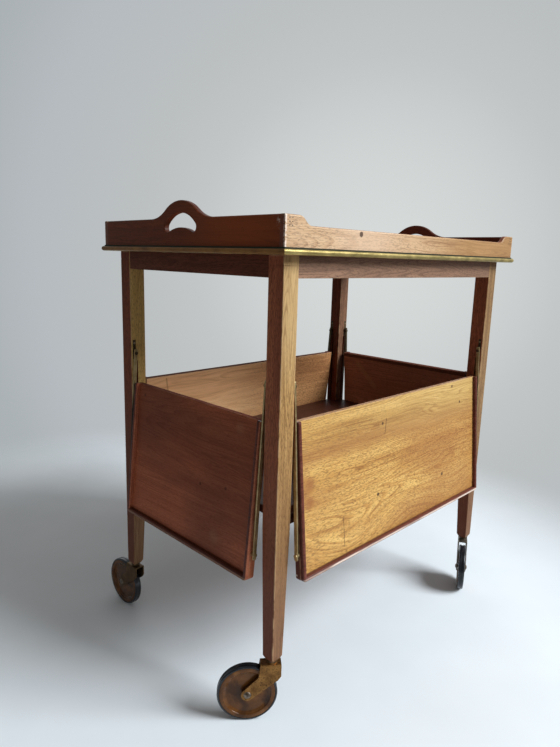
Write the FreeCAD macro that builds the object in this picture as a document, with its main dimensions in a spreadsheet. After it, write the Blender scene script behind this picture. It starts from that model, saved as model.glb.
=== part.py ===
"""Drop leaf tea trolley: a mahogany frame on four swivel castors, with a lift-off gallery tray on
top and a shelf below. A tray-shaped leaf hangs on two brass links at each side of the shelf. A leaf
swings out and up, and its inner edge then lies on the shelf's margin. Lengths are in millimetres.
+X runs along the long side, +Y from front to back, +Z up. The origin is on the floor under the
middle of the frame."""

import FreeCAD
import Part
import math
import os
import Sketcher

SIZES = {
    # Frame, measured over the legs
    "frame_length": 592.6,
    "frame_width": 391.2,
    "frame_height": 674.0,
    "leg_side": 28.0,
    "leg_rounding": 1.2,
    "foot_side": 20.6,
    "foot_height": 97.0,
    "toe_inset": 3.0,
    "toe_height": 6.0,
    # Aprons and their tenons
    "apron_depth": 29.0,
    "apron_thickness": 18.0,
    "apron_inset": 0.6,
    "tenon_length": 12.0,
    "tenon_thickness": 7.0,
    "tenon_shoulder": 5.0,
    "score_drop": 13.6,
    "score_width": 0.9,
    "score_depth": 0.7,
    "joint_clearance": 0.1,
    "cut_overrun": 5.0,
    # Shelf and the bearers under it
    "shelf_height": 330.0,
    "shelf_thickness": 12.0,
    "bearer_depth": 18.0,
    "bearer_thickness": 14.0,
    "bearer_inset": 9.0,
    # Leaves
    "leaf_depth": 232.0,
    "leaf_end_gap": 9.0,
    "leaf_tilt": 5.4,
    "leaf_rest_gap": 0.4,
    "leaf_corner": 6.0,
    "panel_thickness": 10.0,
    "panel_rounding": 1.2,
    "rim_width": 7.0,
    "rim_height": 6.5,
    "rim_rounding": 2.6,
    # Guide pins at the leaf's top corners, and the grooves in the legs that they face
    "guide_inset": 10.3,
    "guide_height": 442.0,
    "guide_setback": 8.0,
    "guide_radius": 2.0,
    "guide_seat": 12.0,
    "guide_tip_gap": 0.4,
    "groove_top": 488.0,
    "groove_depth": 5.0,
    "groove_clearance": 0.2,
    # Links, their pivots on the legs and their rivets in the leaves
    "link_inset": 5.9,
    "link_width": 5.5,
    "link_thickness": 2.5,
    "link_end": 7.0,
    "link_rounding": 1.5,
    "link_standoff": 3.0,
    "link_play": 0.15,
    "rivet_reach": 184.0,
    "rivet_offset": 2.5,
    "pivot_radius": 1.5,
    "pivot_seat": 10.0,
    "pivot_head_radius": 2.9,
    "pivot_head_height": 1.2,
    "running_clearance": 0.05,
    "plate_width": 6.0,
    "plate_height": 34.0,
    "plate_thickness": 2.0,
    "plate_rise": 23.0,
    # Tray
    "tray_overhang": 17.8,
    "base_thickness": 9.5,
    "rail_thickness": 9.0,
    "rail_height": 39.0,
    "rail_dip": 12.0,
    "rail_rounding": 2.2,
    "sweep_flat": 25.0,
    "sweep_length": 26.0,
    "arch_rise": 25.0,
    "arch_width": 150.0,
    "arch_crown": 62.0,
    "hole_width": 76.0,
    "hole_drop": 17.5,
    "hole_waist": 20.5,
    "hole_crown": 50.0,
    "hole_lobe": 7.0,
    "hole_rounding": 1.6,
    "moulding_projection": 5.0,
    "moulding_rounding": 3.6,
    "moulding_fillet": 1.7,
    "moulding_step": 1.2,
    "batten_width": 14.0,
    "batten_depth": 8.0,
    "batten_clearance": 0.5,
    # Castors
    "wheel_diameter": 89.0,
    "tyre_depth": 3.2,
    "tyre_width": 12.0,
    "tyre_shoulder": 2.4,
    "tyre_fit": 0.1,
    "tread_groove": 3.0,
    "tread_depth": 0.8,
    "rim_band_width": 12.4,
    "rim_band_depth": 6.6,
    "rim_band_round": 1.6,
    "rim_band_slope": 3.2,
    "rim_band_edge": 1.4,
    "web_thickness": 4.6,
    "hub_radius": 8.0,
    "hub_width": 13.0,
    "axle_radius": 3.0,
    "axle_head_radius": 5.5,
    "axle_head_height": 2.6,
    "castor_trail": 36.0,
    "fork_front": 17.5,
    "fork_back": 13.0,
    "fork_gap": 14.0,
    "fork_plate": 2.2,
    "fork_bend": 2.0,
    "fork_shoulder": 19.5,
    "fork_shoulder_run": 2.5,
    "fork_heel": 18.0,
    "fork_heel_drop": 6.5,
    "fork_heel_run": 4.5,
    "fork_eye": 9.0,
    "stem_radius": 4.0,
    "stem_height": 40.0,
    "washer_radius": 7.0,
    "washer_height": 2.3,
    "swivel_gap": 0.3,
    "flange_radius": 7.5,
    "flange_height": 2.4,
    "socket_radius": 5.5,
    "socket_height": 36.0,
    # Castor directions in degrees, anticlockwise from +X
    "castor_angle_front_left": 140.0,
    "castor_angle_front_right": 208.0,
    "castor_angle_back_right": 320.0,
    "castor_angle_back_left": 92.0,
}

# Places that follow from the sizes. "out" counts outwards from a leg's outer face.
LAYOUT = {
    "half_length": "Sizes.frame_length / 2",
    "half_width": "Sizes.frame_width / 2",
    "inner_length": "Sizes.frame_length - 2 * Sizes.leg_side",
    "inner_width": "Sizes.frame_width - 2 * Sizes.leg_side",
    "leg_length": "Sizes.frame_height - Sizes.foot_height",
    "shelf_underside": "Sizes.shelf_height - Sizes.shelf_thickness",
    "bearer_underside": "shelf_underside - Sizes.bearer_depth",
    "taper_length": "bearer_underside - Sizes.foot_height",
    "tenon_inset": "Sizes.apron_inset + (Sizes.apron_thickness - Sizes.tenon_thickness) / 2",
    "tenon_depth": "Sizes.apron_depth - 2 * Sizes.tenon_shoulder",
    "apron_underside": "Sizes.frame_height - Sizes.apron_depth",
    # Leaf linkage: the rivet's place with the leaf hanging and raised gives the pivot's height
    "half_panel": "Sizes.panel_thickness / 2",
    "rivet_out": "Sizes.rivet_reach * sin(Sizes.leaf_tilt)"
    " + Sizes.rivet_offset * cos(Sizes.leaf_tilt) - Sizes.guide_inset",
    "rivet_height": "Sizes.guide_height - Sizes.rivet_reach * cos(Sizes.leaf_tilt)"
    " + Sizes.rivet_offset * sin(Sizes.leaf_tilt)",
    "raised_guide_height": "Sizes.shelf_height + Sizes.leaf_rest_gap + half_panel",
    "raised_rivet_out": "Sizes.rivet_reach - Sizes.guide_inset",
    "raised_rivet_height": "raised_guide_height + Sizes.rivet_offset",
    "rest_run": "rivet_out + Sizes.link_inset",
    "raised_run": "raised_rivet_out + Sizes.link_inset",
    "pivot_height": "(raised_run ^ 2 + raised_rivet_height ^ 2 - rest_run ^ 2 - rivet_height ^ 2)"
    " / (2 * (raised_rivet_height - rivet_height))",
    "link_length": "sqrt(rest_run ^ 2 + (pivot_height - rivet_height) ^ 2)",
    "link_tilt": "atan2(rest_run; pivot_height - rivet_height)",
    "link_raised": "atan2(raised_run; pivot_height - raised_rivet_height)",
    "plate_top": "pivot_height + Sizes.plate_rise",
    "groove_bottom": "raised_guide_height - Sizes.guide_radius - Sizes.groove_clearance",
    "groove_half": "Sizes.guide_radius + Sizes.groove_clearance",
    "leaf_back_drop": "Sizes.guide_height - half_panel * sin(Sizes.leaf_tilt) - Sizes.shelf_height",
    "shelf_inset": "Sizes.guide_inset - leaf_back_drop * tan(Sizes.leaf_tilt)"
    " + half_panel * cos(Sizes.leaf_tilt) + Sizes.leaf_rest_gap",
    "leaf_foot": "Sizes.guide_setback - Sizes.leaf_depth",
    "leaf_half_long": "inner_length / 2 - Sizes.leaf_end_gap",
    "leaf_half_short": "inner_width / 2 - Sizes.leaf_end_gap",
    "link_near": "Sizes.leaf_end_gap - Sizes.link_standoff - Sizes.link_thickness",
    "link_far": "Sizes.leaf_end_gap - Sizes.link_standoff",
    # Tray
    "tray_length": "Sizes.frame_length + 2 * Sizes.tray_overhang",
    "tray_width": "Sizes.frame_width + 2 * Sizes.tray_overhang",
    "tray_inner_length": "tray_length - 2 * Sizes.rail_thickness",
    "tray_inner_width": "tray_width - 2 * Sizes.rail_thickness",
    "tray_floor": "Sizes.frame_height + Sizes.base_thickness",
    "rail_top": "tray_floor + Sizes.rail_height",
    "rail_middle": "rail_top - Sizes.rail_dip",
    "sweep_radius": "(Sizes.sweep_length ^ 2 + Sizes.rail_dip ^ 2) / (4 * Sizes.rail_dip)",
    "arch_half": "Sizes.arch_width / 2",
    "arch_radii": "(arch_half ^ 2 + Sizes.arch_rise ^ 2) / (2 * Sizes.arch_rise)",
    "arch_foot_radius": "arch_radii - Sizes.arch_crown",
    "arch_top": "rail_top + Sizes.arch_rise",
    "arch_turn_out": "arch_half * Sizes.arch_crown / arch_radii",
    "arch_turn_height": "arch_top - Sizes.arch_rise * Sizes.arch_crown / arch_radii",
    "hole_top": "arch_top - Sizes.hole_drop",
    "hole_bump": "hole_top - Sizes.hole_waist",
    "hole_crown_centre": "hole_top - Sizes.hole_crown",
    "lobe_out": "Sizes.hole_width / 2 - Sizes.hole_lobe",
    "lobe_rise": "sqrt((Sizes.hole_crown - Sizes.hole_lobe) ^ 2 - lobe_out ^ 2)",
    "lobe_height": "hole_crown_centre + lobe_rise",
    "lobe_over_bump": "lobe_height - hole_bump",
    "bump_radius": "(lobe_out ^ 2 + lobe_over_bump ^ 2 - Sizes.hole_lobe ^ 2)"
    " / (2 * (Sizes.hole_lobe - lobe_over_bump))",
    "crown_share": "Sizes.hole_crown / (Sizes.hole_crown - Sizes.hole_lobe)",
    "bump_share": "bump_radius / (bump_radius + Sizes.hole_lobe)",
    "hole_side_out": "lobe_out * crown_share",
    "hole_side_height": "hole_crown_centre + lobe_rise * crown_share",
    "hole_foot_out": "lobe_out * bump_share",
    "hole_foot_height": "hole_bump - bump_radius + (lobe_over_bump + bump_radius) * bump_share",
    # Castors
    "castor_out_x": "half_length - Sizes.foot_side / 2",
    "castor_out_y": "half_width - Sizes.foot_side / 2",
    "wheel_radius": "Sizes.wheel_diameter / 2",
    "disc_radius": "wheel_radius - Sizes.tyre_depth",
    "fork_top": "Sizes.foot_height - Sizes.flange_height - Sizes.swivel_gap - Sizes.washer_height",
    "fork_outside": "Sizes.fork_gap + 2 * Sizes.fork_plate",
    "shoulder_height": "fork_top - Sizes.fork_shoulder",
    "heel_height": "fork_top - Sizes.fork_heel",
    "heel_foot_height": "heel_height - Sizes.fork_heel_drop",
    "heel_foot_out": "Sizes.fork_heel_run - Sizes.fork_back",
    "shoulder_out": "Sizes.fork_front + Sizes.fork_shoulder_run",
    # The wheel trails far enough to clear the fork's crown, also where the crown is lower than the wheel
    "crown_underside": "fork_top - Sizes.fork_plate",
    "wheel_reach": "wheel_radius + Sizes.running_clearance",
    "crown_rise": "min(wheel_reach; crown_underside - wheel_radius)",
    "wheel_trail": "max(Sizes.castor_trail; shoulder_out + sqrt(wheel_reach ^ 2 - crown_rise ^ 2))",
    "upper_run": "shoulder_out - wheel_trail",
    "upper_rise": "shoulder_height - wheel_radius",
    "lower_run": "heel_foot_out - wheel_trail",
    "lower_rise": "heel_foot_height - wheel_radius",
    "upper_turn": "atan2(upper_rise; upper_run)"
    " - acos(Sizes.fork_eye / sqrt(upper_run ^ 2 + upper_rise ^ 2))",
    "lower_turn": "atan2(lower_rise; lower_run)"
    " + acos(Sizes.fork_eye / sqrt(lower_run ^ 2 + lower_rise ^ 2))",
}

# Each corner's shares of the half length and half width, in the order of the legs' quarter turns
CORNER_SHARES = {
    "front_left": (-1, -1),
    "front_right": (1, -1),
    "back_right": (1, 1),
    "back_left": (-1, 1),
}

# Each side's shares of the half length and half width
SIDE_SHARES = {
    "front": (0, -1),
    "back": (0, 1),
    "left": (-1, 0),
    "right": (1, 0),
}
LONG_SIDES = ("front", "back")

SAME_PLACE_SHARE = 1e-4

X_AXIS = FreeCAD.Vector(1, 0, 0)
Y_AXIS = FreeCAD.Vector(0, 1, 0)
Z_AXIS = FreeCAD.Vector(0, 0, 1)
AXIS_TURNS = {
    "x": FreeCAD.Rotation(Y_AXIS, 90),
    "y": FreeCAD.Rotation(X_AXIS, -90),
    "z": FreeCAD.Rotation(),
}

doc = FreeCAD.newDocument("TeaTrolley")
subparts = []


def fill_sheet(name, rows, mark):
    """One row per value: its name, the value and the alias that the expressions use."""
    sheet = doc.addObject("Spreadsheet::Sheet", name)
    for row, (alias, value) in enumerate(rows.items(), start=1):
        sheet.set(f"A{row}", alias)
        sheet.set(f"B{row}", f"{mark}{value}")
        sheet.setAlias(f"B{row}", alias)
    doc.recompute()
    return sheet


sizes = fill_sheet("Sizes", SIZES, "")
layout = fill_sheet("Layout", LAYOUT, "=")


def value(expression):
    """The number that an expression gives now."""
    result = sizes.evalExpression(expression)
    return float(getattr(result, "Value", result))


def bind(obj, bindings):
    for name, expression in bindings.items():
        obj.setExpression(name, expression)


def place(obj, base, turn=None):
    """Puts an object at expressions for x, y and z, turned by a rotation."""
    if turn is not None:
        obj.Placement = FreeCAD.Placement(FreeCAD.Vector(), turn)
    bind(obj, {f"Placement.Base.{axis}": place_on for axis, place_on in zip("xyz", base)})


def new_body(label):
    body = doc.addObject("PartDesign::Body", label)
    body.Label = label
    return body


def keep(obj):
    """Marks an object as a sub-part that is written to its own file."""
    subparts.append(obj)
    return obj


def group(label, members):
    """Several separate solids that share one sub-part."""
    compound = doc.addObject("Part::Compound", label)
    compound.Label = label
    compound.Links = members
    return keep(compound)


def block(body, kind, size, corner):
    """A box that is added to the body or taken from it."""
    feature = body.newObject(f"PartDesign::{kind}Box", f"{body.Label}_block")
    bind(feature, dict(zip(("Length", "Width", "Height"), size)))
    place(feature, corner)
    return feature


def rod(body, kind, radius, length, base, axis="z"):
    """A cylinder along an axis that is added to the body or taken from it."""
    feature = body.newObject(f"PartDesign::{kind}Cylinder", f"{body.Label}_rod")
    bind(feature, {"Radius": radius, "Height": length})
    place(feature, base, AXIS_TURNS[axis])
    return feature


def origin_plane(body, role):
    return next(item for item in body.Origin.OriginFeatures if item.Role == role)


def arc_between(start, end, radius, turn):
    """The arc under half a circle from start to end: turn 1 is anticlockwise and -1 clockwise."""
    middle = (start + end) * 0.5
    run = end - start
    offset = math.sqrt(max(radius**2 - (run.Length / 2) ** 2, 0))
    left = FreeCAD.Vector(-run.y, run.x, 0).normalize()
    centre = middle + left * (offset * turn)
    first, last = (start, end) if turn > 0 else (end, start)
    angles = [math.atan2(point.y - centre.y, point.x - centre.x) for point in (first, last)]
    if angles[1] < angles[0]:
        angles[1] += 2 * math.pi
    return Part.ArcOfCircle(Part.Circle(centre, Z_AXIS, radius), *angles)


def outline(body, role, steps, offset="0"):
    """A closed sketch on one of the body's planes. A step is (x, y) for a straight run to that
    point, or (x, y, radius, turn) for an arc to it. Every point is bound to its expressions."""
    sketch = body.newObject("Sketcher::SketchObject", f"{body.Label}_outline")
    sketch.AttachmentSupport = (origin_plane(body, role), "")
    sketch.MapMode = "FlatFace"
    sketch.setExpression("AttachmentOffset.Base.z", offset)
    add_loop(sketch, steps)
    return sketch


def add_loop(sketch, steps):
    points = [FreeCAD.Vector(value(step[0]), value(step[1]), 0) for step in steps]
    runs = []
    for index, step in enumerate(steps):
        start, end = points[index - 1], points[index]
        if len(step) == 2:
            runs.append((sketch.addGeometry(Part.LineSegment(start, end)), 1, 2))
            continue
        arc = sketch.addGeometry(arc_between(start, end, value(step[2]), step[3]))
        runs.append((arc, 1, 2) if step[3] > 0 else (arc, 2, 1))
        bend = sketch.addConstraint(Sketcher.Constraint("Radius", arc, value(step[2])))
        sketch.setExpression(f"Constraints[{bend}]", step[2])
    for index, (run, _, end) in enumerate(runs):
        follower, start, _ = runs[(index + 1) % len(runs)]
        sketch.addConstraint(Sketcher.Constraint("Coincident", run, end, follower, start))
        for kind, expression in zip(("DistanceX", "DistanceY"), steps[index]):
            rule = Sketcher.Constraint(kind, -1, 1, run, end, value(expression))
            sketch.setExpression(f"Constraints[{sketch.addConstraint(rule)}]", expression)


def pad(body, sketch, length, both_ways=False):
    feature = body.newObject("PartDesign::Pad", f"{body.Label}_pad")
    feature.Profile = sketch
    feature.Midplane = both_ways
    feature.setExpression("Length", length)
    return feature


def revolve(body, sketch):
    """A full turn about the sketch's upright axis."""
    feature = body.newObject("PartDesign::Revolution", f"{body.Label}_turning")
    feature.Profile = sketch
    feature.ReferenceAxis = (sketch, ["V_Axis"])
    feature.Angle = 360
    return feature


def ease(body, kind, size, chosen):
    """A fillet or chamfer on the edges of the body's tip that the test chooses."""
    doc.recompute()
    base = body.Tip
    names = [f"Edge{i}" for i, edge in enumerate(base.Shape.Edges, start=1) if chosen(edge.BoundBox)]
    feature = body.newObject(f"PartDesign::{kind}", f"{body.Label}_{kind.lower()}")
    feature.Base = (base, names)
    feature.setExpression({"Fillet": "Radius", "Chamfer": "Size"}[kind], size)
    return feature


def near_length():
    """A length that is too small to matter when edges are told apart."""
    return SAME_PLACE_SHARE * value("Sizes.leg_side")


def near(one, other):
    return abs(one - other) < near_length()


def corner_place(corner):
    """Expressions for the foot of a leg's outer corner, and the leg's turn."""
    along, across = CORNER_SHARES[corner]
    base = (f"{along} * Layout.half_length", f"{across} * Layout.half_width", "Sizes.foot_height")
    quarters = list(CORNER_SHARES).index(corner)
    return base, FreeCAD.Rotation(Z_AXIS, 90 * quarters)


def side_turn(side):
    """The turn in degrees that brings +Y to the side's outward direction."""
    along, across = SIDE_SHARES[side]
    return math.degrees(math.atan2(-along, across))


def leaf_half(side):
    return "Layout.leaf_half_long" if side in LONG_SIDES else "Layout.leaf_half_short"


def swap(triple, face):
    """A leg is alike about its diagonal: what is on its x face is on its y face with x and y swapped."""
    return triple if face == "x" else (triple[1], triple[0], triple[2])


def rounded_square(low, high):
    """A square from low to high in x and y, with the legs' rounding at its corners."""
    from_low = f"({low} + Sizes.leg_rounding)"
    to_high = f"({high} - Sizes.leg_rounding)"
    bend = ("Sizes.leg_rounding", 1)
    return [
        (to_high, low),
        (high, from_low, *bend),
        (high, to_high),
        (to_high, high, *bend),
        (from_low, high),
        (low, to_high, *bend),
        (low, from_low),
        (from_low, low, *bend),
    ]


def make_leg(corner):
    """A square leg whose two inner faces taper below the shelf, with a small bevelled toe. Its outer
    corner is at the origin."""
    body = new_body(f"leg_{corner}")
    toe = outline(body, "XY_Plane", rounded_square("Sizes.toe_inset", "Sizes.foot_side - Sizes.toe_inset"))
    foot = outline(body, "XY_Plane", rounded_square("0", "Sizes.foot_side"), "Sizes.toe_height")
    shank = outline(body, "XY_Plane", rounded_square("0", "Sizes.leg_side"), "Layout.taper_length")
    taper = body.newObject("PartDesign::AdditiveLoft", f"{body.Label}_taper")
    taper.Profile = toe
    taper.Sections = [foot, shank]
    taper.Ruled = True
    pad(body, shank, "Layout.leg_length - Layout.taper_length")
    for face in "xy":
        cut_leg_face(body, face)
    rod(
        body,
        "Subtractive",
        "Sizes.socket_radius + Sizes.joint_clearance",
        "Sizes.socket_height + Sizes.joint_clearance",
        ("Sizes.foot_side / 2", "Sizes.foot_side / 2", "0"),
    )
    place(body, *corner_place(corner))
    return keep(body)


def cut_leg_face(body, face):
    """The apron's mortise, the scored line near the leg's top, the link plate's recess, its pivot's
    hole and the guide pin's groove."""
    mortise = (
        "Sizes.tenon_length + Sizes.joint_clearance",
        "Sizes.tenon_thickness + 2 * Sizes.joint_clearance",
        "Layout.tenon_depth + 2 * Sizes.joint_clearance",
    )
    mortise_corner = (
        "Sizes.leg_side - Sizes.tenon_length - Sizes.joint_clearance",
        "Layout.tenon_inset - Sizes.joint_clearance",
        "Layout.apron_underside + Sizes.tenon_shoulder - Sizes.joint_clearance - Sizes.foot_height",
    )
    block(body, "Subtractive", swap(mortise, face), swap(mortise_corner, face))
    score = ("Sizes.leg_side", "Sizes.score_depth", "Sizes.score_width")
    score_corner = ("0", "0", "Layout.leg_length - Sizes.score_drop")
    block(body, "Subtractive", swap(score, face), swap(score_corner, face))
    recess = ("Sizes.plate_thickness", "Sizes.plate_width", "Sizes.plate_height")
    recess_corner = (
        "Sizes.leg_side - Sizes.plate_thickness",
        "Sizes.link_inset - Sizes.plate_width / 2",
        "Layout.plate_top - Sizes.plate_height - Sizes.foot_height",
    )
    block(body, "Subtractive", swap(recess, face), swap(recess_corner, face))
    groove = (
        "Sizes.groove_depth",
        "2 * Layout.groove_half",
        "Sizes.groove_top - Layout.groove_bottom",
    )
    groove_corner = (
        "Sizes.leg_side - Sizes.groove_depth",
        "Sizes.guide_inset - Layout.groove_half",
        "Layout.groove_bottom - Sizes.foot_height",
    )
    block(body, "Subtractive", swap(groove, face), swap(groove_corner, face))
    pivot_base = (
        "Sizes.leg_side - Sizes.pivot_seat - Sizes.joint_clearance",
        "Sizes.link_inset",
        "Layout.pivot_height - Sizes.foot_height",
    )
    rod(
        body,
        "Subtractive",
        "Sizes.pivot_radius + Sizes.running_clearance",
        "Sizes.pivot_seat + Sizes.joint_clearance",
        swap(pivot_base, face),
        face,
    )


def make_link_plates():
    """Brass plates let in flush behind the tops of the links."""
    plates = []
    for corner in CORNER_SHARES:
        for face in "xy":
            body = new_body(f"link_plate_{corner}_{face}")
            size = ("Sizes.plate_thickness", "Sizes.plate_width", "Sizes.plate_height")
            low = (
                "Sizes.leg_side - Sizes.plate_thickness",
                "Sizes.link_inset - Sizes.plate_width / 2",
                "Layout.plate_top - Sizes.plate_height - Sizes.foot_height",
            )
            block(body, "Additive", swap(size, face), swap(low, face))
            hole = (
                "Sizes.leg_side - Sizes.plate_thickness",
                "Sizes.link_inset",
                "Layout.pivot_height - Sizes.foot_height",
            )
            radius = "Sizes.pivot_radius + Sizes.running_clearance"
            rod(body, "Subtractive", radius, "Sizes.plate_thickness", swap(hole, face), face)
            place(body, *corner_place(corner))
            plates.append(body)
    return group("link_plates", plates)


def shouldered_pin(body, axis, sign, start, across, seat, gap):
    """A headed pin that a link turns on, seated from start, with a shoulder that spans the gap."""
    head_from = f"{seat} + {gap} + Sizes.link_thickness + Sizes.link_play"
    stretches = (
        ("Sizes.pivot_radius", "0", head_from),
        ("Sizes.pivot_head_radius", seat, f"{gap} - Sizes.link_play"),
        ("Sizes.pivot_head_radius", head_from, "Sizes.pivot_head_height"),
    )
    for radius, along, length in stretches:
        from_start = f"{start} + {along}" if sign > 0 else f"-({start} + {along} + {length})"
        rod(body, "Additive", radius, length, swap((from_start, *across), axis), axis)


def make_link_pivots():
    """The pins in the legs that the links hang on."""
    pivots = []
    across = ("Sizes.link_inset", "Layout.pivot_height - Sizes.foot_height")
    for corner in CORNER_SHARES:
        for face in "xy":
            body = new_body(f"link_pivot_{corner}_{face}")
            start = "Sizes.leg_side - Sizes.pivot_seat"
            shouldered_pin(body, face, 1, start, across, "Sizes.pivot_seat", "Sizes.link_standoff")
            place(body, *corner_place(corner))
            pivots.append(body)
    return group("link_pivots", pivots)


def make_castor_sockets():
    """Flanged brass tubes in the legs' ends that the castor stems turn in."""
    sockets = []
    centre = ("Sizes.foot_side / 2", "Sizes.foot_side / 2")
    for corner in CORNER_SHARES:
        body = new_body(f"castor_socket_{corner}")
        rod(body, "Additive", "Sizes.socket_radius", "Sizes.socket_height", (*centre, "0"))
        low = (*centre, "-Sizes.flange_height")
        rod(body, "Additive", "Sizes.flange_radius", "Sizes.flange_height", low)
        bore = "Sizes.stem_radius + Sizes.running_clearance"
        rod(body, "Subtractive", bore, "Sizes.flange_height + Sizes.socket_height", low)
        place(body, *corner_place(corner))
        sockets.append(body)
    return group("castor_sockets", sockets)


def side_place(side, inset, height):
    """Expressions for the middle of a side, inset from the legs' outer faces."""
    along, across = SIDE_SHARES[side]
    return (
        f"{along} * (Layout.half_length - {inset})",
        f"{across} * (Layout.half_width - {inset})",
        height,
    )


def make_apron(side):
    """A rail under the tray, tenoned into two legs. Its outer face is towards -Y before it is turned."""
    body = new_body(f"apron_{side}")
    span = "Layout.inner_length" if side in LONG_SIDES else "Layout.inner_width"
    board = (span, "Sizes.apron_thickness", "Sizes.apron_depth")
    block(body, "Additive", board, (f"-{span} / 2", "Sizes.apron_inset", "0"))
    tenons = (f"{span} + 2 * Sizes.tenon_length", "Sizes.tenon_thickness", "Layout.tenon_depth")
    low = (f"-{span} / 2 - Sizes.tenon_length", "Layout.tenon_inset", "Sizes.tenon_shoulder")
    block(body, "Additive", tenons, low)
    turn = FreeCAD.Rotation(Z_AXIS, side_turn(side) + 180)
    place(body, side_place(side, "0", "Layout.apron_underside"), turn)
    return keep(body)


def make_shelf():
    """The shelf board, notched round the legs. The hanging leaves lean on its edges."""
    body = new_body("shelf_board")
    half_x = "(Layout.half_length - Layout.shelf_inset)"
    half_y = "(Layout.half_width - Layout.shelf_inset)"
    board = (f"2 * {half_x}", f"2 * {half_y}", "Sizes.shelf_thickness")
    block(body, "Additive", board, (f"-{half_x}", f"-{half_y}", "Layout.shelf_underside"))
    notch = "(Sizes.leg_side + Sizes.joint_clearance)"
    for along, across in CORNER_SHARES.values():
        low = (
            f"{along} * (Layout.half_length - {notch} / 2) - {notch} / 2",
            f"{across} * (Layout.half_width - {notch} / 2) - {notch} / 2",
            "Layout.shelf_underside",
        )
        block(body, "Subtractive", (notch, notch, "Sizes.shelf_thickness"), low)
    return keep(body)


def make_shelf_bearer(side):
    """A rail between two legs that carries the shelf."""
    body = new_body(f"shelf_bearer_{side}")
    rail = ("Layout.inner_length", "Sizes.bearer_thickness", "Sizes.bearer_depth")
    block(body, "Additive", rail, ("-Layout.inner_length / 2", "Sizes.bearer_inset", "0"))
    turn = FreeCAD.Rotation(Z_AXIS, side_turn(side) + 180)
    place(body, side_place(side, "0", "Layout.bearer_underside"), turn)
    return keep(body)


def leaf_place(obj, side):
    """A leaf's frame: x along its guide pins, y outwards through the panel, z up along the panel."""
    turn = FreeCAD.Rotation(Z_AXIS, side_turn(side))
    tilt = FreeCAD.Rotation(X_AXIS, value("Sizes.leaf_tilt"))
    place(obj, side_place(side, "Sizes.guide_inset", "Sizes.guide_height"), turn * tilt)


def make_panel(side):
    """The leaf's board, its inner face's edges eased, bored at its ends for the guide pins and the
    link rivets."""
    body = new_body(f"leaf_{side}_panel")
    half = leaf_half(side)
    corner_height = "Layout.leaf_foot + Sizes.leaf_corner"
    steps = [
        (half, "Sizes.guide_setback"),
        (f"-{half}", "Sizes.guide_setback"),
        (f"-{half}", corner_height),
        (f"Sizes.leaf_corner - {half}", "Layout.leaf_foot", "Sizes.leaf_corner", 1),
        (f"{half} - Sizes.leaf_corner", "Layout.leaf_foot"),
        (half, corner_height, "Sizes.leaf_corner", 1),
    ]
    pad(body, outline(body, "XZ_Plane", steps), "Sizes.panel_thickness", both_ways=True)
    inner_face = value("-Layout.half_panel")
    ease(body, "Fillet", "Sizes.panel_rounding", lambda box: near(box.YMax, inner_face))
    bores = (
        ("Sizes.guide_radius", "Sizes.guide_seat", "0", "0"),
        ("Sizes.pivot_radius", "Sizes.pivot_seat", "Sizes.rivet_offset", "-Sizes.rivet_reach"),
    )
    for radius, depth, out, height in bores:
        for start in (f"{half} - {depth} - Sizes.joint_clearance", f"-{half}"):
            size = (f"{radius} + Sizes.running_clearance", f"{depth} + Sizes.joint_clearance")
            rod(body, "Subtractive", *size, (start, out, height), "x")
    leaf_place(body, side)
    return keep(body)


def rim_strip(side, name, steps):
    """One mitred strip of a leaf's raised rim, its upper edges rounded."""
    body = new_body(f"leaf_{side}_rim_{name}")
    face = "-(Layout.half_panel + Sizes.rim_height)"
    pad(body, outline(body, "XZ_Plane", steps, face), "Sizes.rim_height")
    crest = value("Layout.half_panel + Sizes.rim_height")
    round_over = value("Sizes.leaf_corner")

    def on_crest(box):
        slanted = near(box.XLength, box.ZLength) and box.XLength < 2 * round_over
        return near(box.YMin, crest) and not slanted

    ease(body, "Fillet", "Sizes.rim_rounding", on_crest)
    return body


def make_rim(side):
    """The raised rim on the leaf's two ends and its outer edge, three strips mitred at the corners."""
    half = leaf_half(side)
    inner = f"({half} - Sizes.rim_width)"
    inner_foot = "Layout.leaf_foot + Sizes.rim_width"
    corner_height = "Layout.leaf_foot + Sizes.leaf_corner"
    mitre = "Sizes.leaf_corner * (1 - cos(45))"
    mitre_out = f"({half} - {mitre})"
    mitre_height = f"Layout.leaf_foot + {mitre}"
    corner_out = f"({half} - Sizes.leaf_corner)"
    right = [
        (half, "Sizes.guide_setback"),
        (inner, "Sizes.guide_setback"),
        (inner, inner_foot),
        (mitre_out, mitre_height),
        (half, corner_height, "Sizes.leaf_corner", 1),
    ]
    left = [
        (f"-{inner}", "Sizes.guide_setback"),
        (f"-{half}", "Sizes.guide_setback"),
        (f"-{half}", corner_height),
        (f"-{mitre_out}", mitre_height, "Sizes.leaf_corner", 1),
        (f"-{inner}", inner_foot),
    ]
    outer = [
        (inner, inner_foot),
        (f"-{inner}", inner_foot),
        (f"-{mitre_out}", mitre_height),
        (f"-{corner_out}", "Layout.leaf_foot", "Sizes.leaf_corner", 1),
        (corner_out, "Layout.leaf_foot"),
        (mitre_out, mitre_height, "Sizes.leaf_corner", 1),
    ]
    strips = {"right": right, "left": left, "outer": outer}
    rim = group(f"leaf_{side}_rim", [rim_strip(side, *strip) for strip in strips.items()])
    leaf_place(rim, side)
    return rim


def make_guide_pins(side):
    """Steel pins at the leaf's top corners, ending just short of the grooves in the legs."""
    half = leaf_half(side)
    length = "Sizes.guide_seat + Sizes.leaf_end_gap - Sizes.guide_tip_gap"
    starts = {
        "right": f"{half} - Sizes.guide_seat",
        "left": f"Sizes.guide_seat - {half} - ({length})",
    }
    pins = []
    for name, start in starts.items():
        body = new_body(f"leaf_{side}_guide_pin_{name}")
        rod(body, "Additive", "Sizes.guide_radius", length, (start, "0", "0"), "x")
        pins.append(body)
    pair = group(f"leaf_{side}_guide_pins", pins)
    leaf_place(pair, side)
    return pair


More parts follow.
